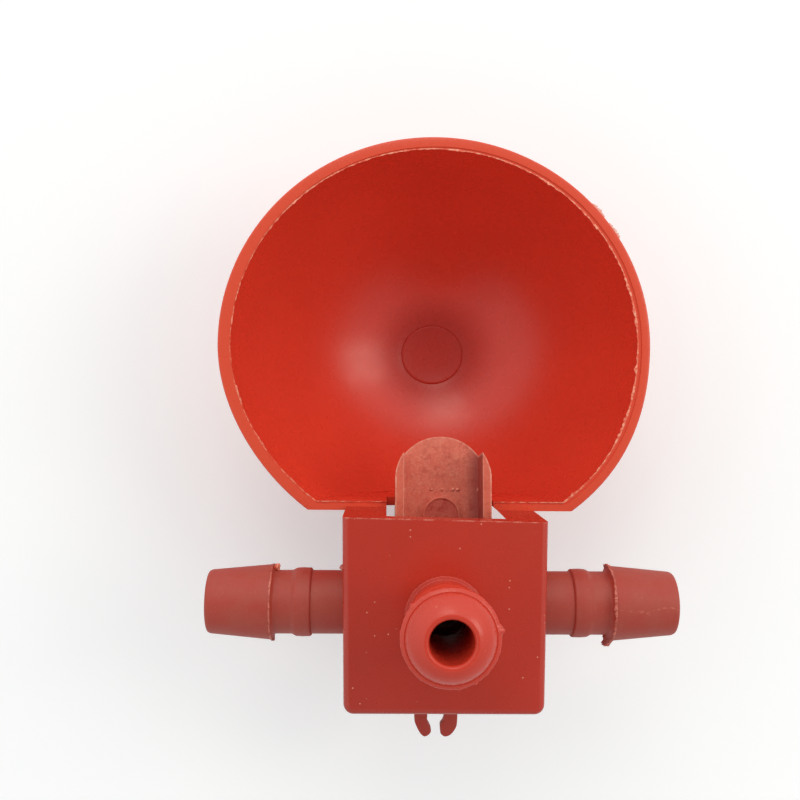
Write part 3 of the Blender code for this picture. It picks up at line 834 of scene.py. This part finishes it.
class CUP_OT_hose_line(bpy.types.Operator):
    """Moulds the hose line that crosses the hood, with a bead and a barb on each side"""

    bl_idname = "cup.hose_line"
    bl_label = "Hose line"

    def execute(self, context):
        s = context.scene.cup_barbs
        hood = context.scene.cup_hood
        half = rounded(barb_outline(s, hood), 0.16 * MM)
        whole = [(radius, -x) for radius, x in reversed(half)] + half
        z, reach, place = s.line_z, 6 * MM, (0, VALVE_Y, 0)
        line = turned("hose_line", whole, 96, (0, VALVE_Y, z), "X")
        cut(line, rod("way_up", s.bore, z, z + reach, place))
        cut(line, rod("way_down", hood.chamber_bore, z - reach, z, place))
        self.roughen(line, s)
        dress(line, "matte red moulding", "cup", "red_moulding", "cup_body")
        return {"FINISHED"}

    def roughen(self, line, s):
        """Slightly uneven walls, as the hand-trimmed moulding has."""
        for vert in line.data.vertices:
            out = Vector((0, vert.co.y - VALVE_Y, vert.co.z - s.line_z))
            if out.length > s.bore + 0.3 * MM and abs(vert.co.x) < s.end - MM:
                wave = noise.noise(vert.co * 260) * 0.04 * MM
                vert.co += out.normalized() * min(wave, 0.0)


# The nipple's ring and dome, in mm: how far in from the ring's edge and over its lower side.
NIPPLE_DOME = (
    (0, 0), (0, 0.45), (0.42, 0.72), (0.52, 0.66), (0.60, 0.85), (0.82, 1.25), (1.15, 1.66),
)
# The same near the mouth: how far in from the ring's edge and under the mouth.
NIPPLE_CROWN = ((1.58, 0.56), (2.06, 0.22))


def nipple_outline(s, hood):
    """The nipple from its foot to its mouth and down its bore."""
    base = hood.top
    bead = base + s.nipple_bead_place
    half = s.bead_width / 2
    ring = base + s.nipple_ring_place
    tip = CUP_BOX[1][2]
    return [
        (s.nipple_foot, base - WELD), (s.nipple_foot, base + 0.35 * MM),
        (s.nipple_neck, base + 0.45 * MM), (s.nipple_neck, bead - half),
        (s.nipple_bead, bead - half / 2), (s.nipple_bead, bead + half / 2),
        (s.nipple_neck, bead + half), (s.nipple_neck, ring - 1.15 * MM),
        *[(s.nipple_ring - inwards * MM, ring + up * MM) for inwards, up in NIPPLE_DOME],
        *[(s.nipple_ring - inwards * MM, tip - down * MM) for inwards, down in NIPPLE_CROWN],
        (s.mouth, tip), (s.bore + 0.22 * MM, tip), (s.bore, tip - 0.28 * MM),
        (s.bore, base - WELD),
    ]


# Burrs on the nipple's ring: where and how wide in degrees, and how tall in mm.
NIPPLE_BURRS = (
    (-171, 2.6, 0.42), (-166, 1.6, 0.2), (-40, 3.0, 0.2), (100, 2.0, 0.16), (120, 1.5, 0.14),
)


class CUP_OT_nipple(bpy.types.Operator):
    """Moulds the nipple that stands on the hood's roof"""

    bl_idname = "cup.nipple"
    bl_label = "Nipple"

    def execute(self, context):
        s = context.scene.cup_barbs
        profile = rounded(nipple_outline(s, context.scene.cup_hood), 0.14 * MM)
        nipple = turned("nipple", profile, 240, (0, VALVE_Y, 0))
        self.flash(nipple, s)
        dress(nipple, "roof moulding", "cup", "red_moulding", "cup_body")
        return {"FINISHED"}

    def flash(self, nipple, s):
        """Torn flash round the ring's edge, with a few larger burrs, and uneven beads."""
        for vert in nipple.data.vertices:
            out = Vector((vert.co.x, vert.co.y - VALVE_Y, 0))
            if out.length < s.nipple_neck - 0.05 * MM:
                continue
            angle = math.atan2(out.y, out.x)
            around = Vector((math.cos(angle) * 14, math.sin(angle) * 14, vert.co.z * 900))
            fine = noise.noise(around)
            wave = 0.03 * fine
            if out.length > s.nipple_ring - 0.3 * MM:
                wave += sum(tall * bump_at(angle, *burr) for *burr, tall in NIPPLE_BURRS)
                wave += 0.05 * max(fine, 0.0)
            vert.co += out.normalized() * wave * MM


def bump_at(angle, place, width):
    """1 at a place round a ring, and 0 further away than about twice the width, in degrees."""
    away = (math.degrees(angle) - place + 180) % 360 - 180
    return math.exp(-((away / width) ** 2))


def smooth_line(points, steps):
    """Points on a smooth curve through the given ones, a few between each two."""
    made = []
    last = len(points) - 1
    for i in range(last):
        before, start = Vector(points[max(i - 1, 0)]), Vector(points[i])
        end, after = Vector(points[i + 1]), Vector(points[min(i + 2, last)])
        for j in range(steps):
            t = j / steps
            bend = 2 * start + (end - before) * t
            bend += (2 * before - 5 * start + 4 * end - after) * t**2
            bend += (3 * start - before - 3 * end + after) * t**3
            made.append(tuple(bend / 2))
    return made + [tuple(points[-1])]


# Each finger of the clip from above: how far out it is and how far before the tip, in mm.
BENT_FINGER = (
    (2.93, 2.9), (2.90, 2.1), (2.64, 1.4), (2.28, 0.7), (1.98, 0.30), (1.55, 0.03),
    (1.08, 0.18), (0.72, 0.55), (0.66, 0.95), (0.86, 1.5), (1.17, 2.1), (1.17, 2.9),
)
STOUT_FINGER = (
    (2.93, 2.9), (2.90, 2.1), (2.80, 1.4), (2.44, 0.75), (1.98, 0.27), (1.42, 0.03),
    (0.98, 0.12), (0.66, 0.45), (0.60, 0.9), (0.60, 1.6), (0.95, 2.15), (1.17, 2.9),
)


def clip_root(hood):
    """Where the clip starts, sunk into the hood's back."""
    return hood.front + hood.long - WELD


def finger_outline(s, hood, side):
    """One finger of the clip from above: a bar that bends in to a round hooked end."""
    root, tip = clip_root(hood), CUP_BOX[1][1]
    ends = BENT_FINGER if side > 0 else STOUT_FINGER
    hook = smooth_line([(out * MM, tip - back * MM) for out, back in ends], 5)
    outline = [(s.slot / 2, root), (s.half_width, root), *hook]
    return [(side * x, y) for x, y in outline]


class CUP_OT_wire_clip(bpy.types.Operator):
    """Moulds the two hooked fingers that grip a cage wire behind the hood"""

    bl_idname = "cup.wire_clip"
    bl_label = "Wire clip"

    def execute(self, context):
        s = context.scene.cup_clip
        hood = context.scene.cup_hood
        bottom = hood.top - hood.height + s.rise
        top = bottom + s.height
        for side, name in ((-1, "wire_clip_right"), (1, "wire_clip_left")):
            finger = extruded_mesh(finger_outline(s, hood, side), top - s.plate, top)
            flat = [e for e in finger.edges if rise_of(e) < MERGE]
            bevel_edges(finger, flat, 0.18 * MM, 3)
            clip = make_object(name, finger)
            add(clip, self.rib(s, clip_root(hood), side, bottom, top))
            dress(clip, "matte red moulding", "cup", "red_moulding", "cup_body")
        return {"FINISHED"}

    def rib(self, s, root, side, bottom, top):
        """The rib that carries a finger, deepest at the hood's back."""
        inset, foot = 0.05 * MM, 1.2 * MM
        inner, outer = sorted((side * (s.slot / 2 + inset), side * (s.half_width - inset)))
        high = (outer, CUP_BOX[1][1] - s.rib, top - s.plate / 2)
        bm = box_mesh((inner, root, bottom), high)
        for vert in bm.verts:
            if vert.co.y > root + MM and vert.co.z < bottom + MM:
                vert.co.y = root + foot
        return make_object("rib", bm)


# Where the pips stand across the tongue's floor, in mm.
PIPS = (-2.25, -1.6, -0.1, 1.3)


def channel_outline(s):
    """The tongue from above, level, with its pivot at the origin."""
    half = s.width / 2
    centre = (0.0, -s.nose + s.nose_radius)
    spread = math.degrees(math.asin(half / s.nose_radius))
    nose = arc(centre, s.nose_radius, -90 + spread, -90 - spread, 48)
    return [(-half, s.tail), (half, s.tail), *nose]


class CUP_OT_tongue(bpy.types.Operator):
    """Moulds the rocking tongue: an open channel with an arched nose, a boss and two trunnions"""

    bl_idname = "cup.tongue"
    bl_label = "Tongue"

    def execute(self, context):
        s = context.scene.cup_tongue
        floor, top = -s.drop, -s.drop + s.wall_height
        outline = extruded_mesh(channel_outline(s), floor - s.floor, top)
        tongue = make_object("tongue", outline)
        inner = s.width / 2 - s.wall
        bm = box_mesh((-inner, -s.nose - MM, floor), (inner, s.tail + MM, top + MM))
        along = [e for e in bm.edges if all(abs(v.co.z - floor) < MERGE for v in e.verts)]
        bevel_edges(bm, along, 0.35 * MM, 4)
        cut(tongue, make_object("channel", bm))
        low = (-s.width, s.step, floor + s.tail_wall)
        cut(tongue, box("step", low, (s.width, s.tail + MM, top + MM)))
        self.boss(tongue, s, floor)
        self.trunnions(tongue, s, inner)
        self.pips(tongue, s, floor)
        tongue.data.transform(Matrix.Rotation(s.slope, 4, "X"))
        tongue.data.transform(Matrix.Translation(Vector(HINGE) - Vector((s.play, 0, 0))))
        dress(tongue, "dull red moulding", "tongue", "dull_red_moulding", "trigger_tongue")
        return {"FINISHED"}

    def boss(self, tongue, s, floor):
        """A round boss with a dished top."""
        top = floor + s.boss_height
        profile = [
            (0.0, floor - WELD), (s.boss, floor - WELD), (s.boss, top), (s.boss - 0.22 * MM, top),
            (s.boss - 0.36 * MM, top - 0.12 * MM), (0.0, top - 0.14 * MM),
        ]
        add(tongue, turned("boss", rounded(profile, 0.15 * MM), 64, (0, -s.boss_place, 0)))

    def trunnions(self, tongue, s, inner):
        """The two round stubs that turn in the ears, with chamfered ends."""
        reach, edge = s.width / 2 + s.reach, 0.25 * MM
        start, shoulder, face = inner + WELD, reach - edge, s.pivot - edge
        for side in (-1, 1):
            profile = [
                (0.0, side * start), (s.pivot, side * start), (s.pivot, side * shoulder),
                (face, side * reach), (0.0, side * reach),
            ]
            add(tongue, turned("trunnion", profile, 48, along="X"))

    def pips(self, tongue, s, floor):
        """A row of tiny pips across the floor in front of the boss."""
        for x in PIPS:
            bm = bmesh.new()
            bmesh.ops.create_icosphere(bm, subdivisions=2, radius=0.24 * MM)
            place = (x * MM, -s.boss_place - s.pip_row, floor)
            bmesh.ops.translate(bm, vec=place, verts=bm.verts)
            add(tongue, make_object("pip", bm))


class CUP_OT_valve(bpy.types.Operator):
    """Turns the seat bush, the rubber washer and the valve pin"""

    bl_idname = "cup.valve"
    bl_label = "Valve"

    def execute(self, context):
        self.ring("bush", BUSH_BOX, 0.15 * MM, "white bush", "white_bush", "seat_bush")
        self.ring("washer", WASHER_BOX, 0.2 * MM, "black rubber", "black_rubber", "seat_washer")
        low, high = PIN_BOX
        bottom, top = low[2], high[2]
        neck = top - 1.4 * MM
        stem, head = 0.9 * MM, (high[0] - low[0]) / 2
        profile = [
            (0.0, bottom), (stem, bottom), (stem, neck), (head, neck), (head, top), (0.0, top),
        ]
        pin = turned("pin", rounded(profile, 0.3 * MM), 64, (0, VALVE_Y, 0))
        dress(pin, "turned steel", "pin", "pin_steel", "valve_pin")
        return {"FINISHED"}

    def ring(self, name, box, edge, material, slot, node):
        """A round-edged ring that fills a node's box, with a hole for the pin."""
        low, high = box
        hole, radius = 1.3 * MM, (high[0] - low[0]) / 2
        bottom, top = low[2], high[2]
        seam = (radius, (bottom + top) / 2)
        corners = [seam, (radius, top), (hole, top), (hole, bottom), (radius, bottom), seam]
        profile = rounded(corners, edge)[:-1]
        dress(turned(name, profile, 64, (0, VALVE_Y, 0)), material, "cup", slot, node)


def drift(along, row):
    """Slow noise along a line, from about -1 to 1."""
    return noise.noise(Vector((along, row, 0)))


def way_at(angle):
    """The level way out at an angle round the bowl or a ring."""
    return Vector((math.cos(angle), math.sin(angle), 0))


class CUP_OT_flash(bpy.types.Operator):
    """Leaves the torn flash on the rim's inner edge, the barb rings and the hood"""

    bl_idname = "cup.flash"
    bl_label = "Flash"

    def execute(self, context):
        bowl = context.scene.cup_bowl
        barbs = context.scene.cup_barbs
        self.rim(bowl, mouth_half(context.scene))
        for name, start in (("rim_sliver_a", -136.5), ("rim_sliver_b", -143.5)):
            self.sliver(name, bowl, start, start - 5)
        self.collar("right_barb_flash", barbs, -1, 0.26, 0.62)
        self.collar("left_barb_flash", barbs, 1, 0.06, 0.20)
        ring = barbs.end - barbs.barb_length
        nub = (ring - 0.6 * MM, VALVE_Y - barbs.barb + 0.3 * MM, barbs.line_z)
        self.burr("barb_burr", nub, (0.36 * MM, 0.45 * MM, 0.34 * MM), "thin flash")
        side = (context.scene.cup_hood.width / 2 - 0.05 * MM, 27.4 * MM, 36.5 * MM)
        self.burr("hood_burr", side, (0.45 * MM, 0.32 * MM, 0.6 * MM), "flash edge")
        return {"FINISHED"}

    def rim_path(self, s, mouth):
        """Places on the rim's inner edge, the ways inwards, and whether each is on the flat back
        wall: one side of that wall, round the bowl, and the other side."""
        straight, round_bowl = 120, 1100
        wide = s.half_width - s.wall
        ratio = s.half_length / s.half_width
        stop = math.asin(s.back_front / (wide * ratio))
        corner = wide * math.cos(stop)
        ahead = Vector((0, -1, 0))
        starts = [-mouth + (mouth - corner) * i / straight for i in range(straight)]
        ends = [corner + (mouth - corner) * (i + 1) / straight for i in range(straight)]
        path = [(Vector((x, s.back_front, s.height)), ahead, True) for x in starts]
        for i in range(round_bowl):
            angle = math.pi - stop + (math.pi + 2 * stop) * i / (round_bowl - 1)
            out = way_at(angle)
            place = Vector((wide * out.x, wide * ratio * out.y, s.height - s.rebate_drop))
            path.append((place, -out, False))
        path += [(Vector((x, s.back_front, s.height)), ahead, True) for x in ends]
        for place, _, _ in path:
            place.x += set_of(place, s)
        return path

    def rim(self, s, mouth):
        """A ragged lip on the rim's inner edge, heavier on the right and with one tear."""
        rows = []
        for i, (base, inward, straight) in enumerate(self.rim_path(s, mouth)):
            right = min(max(-base.x / s.half_width, 0.0), 1.0)
            slow, quick = drift(i * 0.035, 3.1), drift(i * 0.19, 7.7)
            ragged = max(slow + 0.6 * quick + 0.28 + 0.08 * right, 0.0)
            fine = 0.6 + 0.5 * drift(i * 0.4, 1.3)
            tear = bump_at(math.atan2(base.y, base.x), 173.5, 1.0)
            heavy = 0.0 if straight else 0.34 + 0.10 * right
            reach = (0.05 + heavy * ragged * fine + 0.4 * tear) * MM
            lift = (0.02 + 0.14 * ragged + 0.2 * tear) * MM
            rows.append((base, inward, reach, lift, (0.04 + 0.06 * ragged) * MM))
        self.strip("rim_flash", rows, "thin flash")

    def sliver(self, name, s, start, end):
        """A short torn sliver left outside the rim, between two angles in degrees."""
        ratio = s.half_length / s.half_width
        under, steps = s.height - 0.5 * MM, 40
        rows = []
        for i in range(steps + 1):
            share = i / steps
            angle = math.radians(start + (end - start) * share)
            out = way_at(angle)
            base = Vector((s.half_width * out.x, s.half_width * ratio * out.y, under))
            base.x += set_of(base, s)
            torn = math.sin(math.pi * share) ** 0.5 * (0.6 + 0.8 * drift(i * 0.45, start))
            rows.append((base, out, (0.12 + 0.32 * max(torn, 0.0)) * MM, 0.02 * MM, 0.05 * MM))
        self.strip(name, rows, "pale sliver")

    def strip(self, name, rows, material):
        """A thin four-sided lip along a path. Each row has its base, the way it reaches, how far,
        how high, and how far its root goes back."""
        bm = bmesh.new()
        under = Vector((0, 0, 0.04 * MM))
        made = []
        for base, way, reach, lift, root in rows:
            corners = (
                base - way * 0.10 * MM - under, base - way * root + Vector((0, 0, lift * 0.6)),
                base + way * reach + Vector((0, 0, lift)), base + way * reach * 0.8 - under,
            )
            made.append([bm.verts.new(corner) for corner in corners])
        for row, after in zip(made, made[1:]):
            for j in range(4):
                k = (j + 1) % 4
                bm.faces.new((row[j], row[k], after[k], after[j]))
        bm.faces.new(made[0])
        bm.faces.new(made[-1])
        dress(make_object(name, bm), material, "cup", "red_moulding")

    def collar(self, name, s, side, width, spike):
        """A torn collar that flares back from a barb's ring, widest towards the hood's back."""
        place = s.end - s.barb_length
        inner = s.barb - 0.25 * MM
        profile = [
            (inner, -0.10 * MM), (s.barb, -0.12 * MM), (s.barb, 0.06 * MM), (inner, 0.10 * MM),
        ]
        bm = turned_mesh(profile, 360)
        for vert in bm.verts:
            out = Vector((vert.co.x, vert.co.y, 0))
            if out.length < s.barb - 0.1 * MM:
                continue
            angle = math.atan2(out.y, out.x)
            around = way_at(angle) + Vector((0, 0, side))
            slow, quick = noise.noise(around * 2.2), noise.noise(around * 9.0)
            torn = max(slow + 0.5 * quick + 0.45 * noise.noise(around * 30.0) + 0.25, 0.0)
            chunk = bump_at(angle, 90, 13) * (1 + 0.8 * noise.noise(around * 24.0))
            back = 1.3 if vert.co.z < 0 else 0.25
            vert.co += out.normalized() * (torn * width + chunk * spike) * MM
            vert.co.z -= (torn * width + chunk * spike * 0.7) * back * MM
        turn = Matrix.Rotation(side * math.pi / 2, 3, "Y")
        bmesh.ops.rotate(bm, cent=(0, 0, 0), matrix=turn, verts=bm.verts)
        bmesh.ops.translate(bm, vec=(side * place, VALVE_Y, s.line_z), verts=bm.verts)
        dress(make_object(name, bm), "flash edge", "cup", "red_moulding")

    def burr(self, name, place, size, material):
        """A small torn lump."""
        bm = bmesh.new()
        bmesh.ops.create_icosphere(bm, subdivisions=3, radius=1.0)
        for vert in bm.verts:
            rough = 1 + 0.45 * noise.noise(vert.co * 1.7 + Vector(place) * 900)
            vert.co = Vector(place) + Vector([a * b for a, b in zip(vert.co, size)]) * rough
        dress(make_object(name, bm), material, "cup", "red_moulding")


def floor_paint(colours):
    """Pale sweep paper with hardly any tooth."""
    paint, spot = new_paint("floor")
    tooth = paint.grain(spot, 0.02, 3.0)
    colour = paint.mix(tooth * 0.06, colours.floor, (0.80, 0.81, 0.83))
    seen = paint.node("ShaderNodeLightPath", output="Is Camera Ray")
    lift = paint.mix(seen, (0.0, 0.0, 0.0), (0.20, 0.21, 0.215))
    paint.set(Base_Color=colour, Roughness=0.9, Emission_Color=lift, Emission_Strength=1.0)
    return paint.owner


# What the lamps are aimed at.
CUP_MIDDLE = Vector((0, 15 * MM, 20 * MM))


def area_lamp(scene, name, place, size, power):
    """A square soft lamp aimed at the middle of the cup."""
    lamp = bpy.data.lights.new(name, "AREA")
    lamp.shape = "SQUARE"
    lamp.size = size
    lamp.energy = power
    lamp.color = scene.cup_colours.lamp
    obj = bpy.data.objects.new(name, lamp)
    scene.collection.objects.link(obj)
    obj.location = place
    obj.rotation_euler = (CUP_MIDDLE - Vector(place)).to_track_quat("-Z", "Y").to_euler()


class CUP_OT_stage(bpy.types.Operator):
    """Sets the pale floor, the soft lamps and the camera over the cup"""

    bl_idname = "cup.stage"
    bl_label = "Stage"

    def execute(self, context):
        scene = context.scene
        self.floor(scene)
        area_lamp(scene, "side", (-0.38, -0.08, 0.38), 0.22, 0.42)
        area_lamp(scene, "top", (0.04, -0.34, 0.42), 0.20, 0.30)
        self.world(scene)
        self.camera(scene)
        scene.view_settings.view_transform = "Standard"
        return {"FINISHED"}

    def floor(self, scene):
        bm = bmesh.new()
        bmesh.ops.create_circle(bm, cap_ends=True, segments=96, radius=2.0)
        floor = make_object("floor", bm)
        floor.data.materials.append(floor_paint(scene.cup_colours))

    def world(self, scene):
        """A soft sky with a brighter band ahead of the bowl, dim behind and straight above."""
        world = bpy.data.worlds.new("studio")
        paint = Paint(world, "Background")
        x, y, z = paint.axes(paint.node("ShaderNodeTexCoord", output="Generated"))
        lit = paint.ramp(z * 0.35 - y * 0.75 + x * 0.2, -0.7, 0.7)
        shaded = paint.ramp(z, 0.78, 0.92)
        band = paint.ramp(z, 0.52, 0.66) * (1 - paint.ramp(z, 0.80, 0.88))
        band = band * paint.ramp(0 - y * 0.75 - x * 0.5, -0.2, 0.5)
        strength = (0.52 + lit * 0.60) * (1 - shaded * 0.7) + band * 0.2
        paint.set(Color=(1.0, 0.98, 0.96, 1.0), Strength=strength)
        scene.world = world

    def camera(self, scene):
        s = scene.cup_studio
        lens = bpy.data.cameras.new("camera")
        lens.lens = s.lens
        lens.sensor_width = 36.0
        lens.clip_start = 0.005
        camera = bpy.data.objects.new("camera", lens)
        scene.collection.objects.link(camera)
        camera.location = (s.aside, s.along, s.height)
        camera.rotation_euler = (s.lean, s.roll, math.pi + s.turn)
        scene.camera = camera


class CUP_OT_paints(bpy.types.Operator):
    """Mixes the materials of all the pieces"""

    bl_idname = "cup.paints"
    bl_label = "Materials"

    def execute(self, context):
        scene = context.scene
        colours = scene.cup_colours
        bowl_paint(colours, scene.cup_bowl)
        roof_paint(colours, scene.cup_hood)
        matte_paint(colours, scene.cup_barbs, scene.cup_hood)
        tongue_paint(colours, scene.cup_tongue)
        flash_paint("thin flash", (0.92, 0.37, 0.24), colours.rim)
        flash_paint("flash edge", (0.62, 0.17, 0.12), colours.matte)
        flash_paint("pale sliver", (0.92, 0.60, 0.52), (0.88, 0.42, 0.33))
        plain_paint("white bush", (0.78, 0.77, 0.72), (0.6, 0.59, 0.55), 1.2, 0.4)
        plain_paint("black rubber", (0.02, 0.02, 0.022), (0.045, 0.045, 0.045), 2.0, 0.62)
        plain_paint("turned steel", (0.62, 0.62, 0.6), (0.45, 0.45, 0.44), 1.5, 0.22, 1.0)
        return {"FINISHED"}


class CUP_PT_panel(bpy.types.Panel):
    bl_label = "Poultry drinking cup"
    bl_idname = "CUP_PT_panel"
    bl_space_type = "VIEW_3D"
    bl_region_type = "UI"
    bl_category = "Cup"

    def draw(self, context):
        for operator in OPERATORS:
            self.layout.operator(operator.bl_idname)
        for name in GROUPS:
            group = getattr(context.scene, name)
            column = self.layout.column(align=True)
            for key in group.bl_rna.properties.keys():
                if key not in ("rna_type", "name"):
                    column.prop(group, key)


OPERATORS = (
    CUP_OT_paints, CUP_OT_bowl, CUP_OT_hood, CUP_OT_hose_line, CUP_OT_nipple, CUP_OT_wire_clip,
    CUP_OT_flash, CUP_OT_tongue, CUP_OT_valve, CUP_OT_stage,
)
GROUPS = {
    "cup_bowl": CupBowlSizes, "cup_hood": CupHoodSizes, "cup_barbs": CupBarbSizes,
    "cup_tongue": CupTongueSizes, "cup_clip": CupClipSizes, "cup_colours": CupColours,
    "cup_studio": CupStudio,
}


def register():
    for group in GROUPS.values():
        bpy.utils.register_class(group)
    for operator in OPERATORS:
        bpy.utils.register_class(operator)
    bpy.utils.register_class(CUP_PT_panel)
    for name, group in GROUPS.items():
        setattr(bpy.types.Scene, name, PointerProperty(type=group))


def unregister():
    for name in GROUPS:
        delattr(bpy.types.Scene, name)
    bpy.utils.unregister_class(CUP_PT_panel)
    for cls in (*OPERATORS, *GROUPS.values()):
        bpy.utils.unregister_class(cls)


def main():
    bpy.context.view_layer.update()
    register()
    bpy.ops.cup.paints()
    bpy.ops.cup.bowl()
    bpy.ops.cup.hood()
    bpy.ops.cup.hose_line()
    bpy.ops.cup.nipple()
    bpy.ops.cup.wire_clip()
    bpy.ops.cup.flash()
    bpy.ops.cup.tongue()
    bpy.ops.cup.valve()
    bpy.ops.cup.stage()


if __name__ == "__main__":
    main()
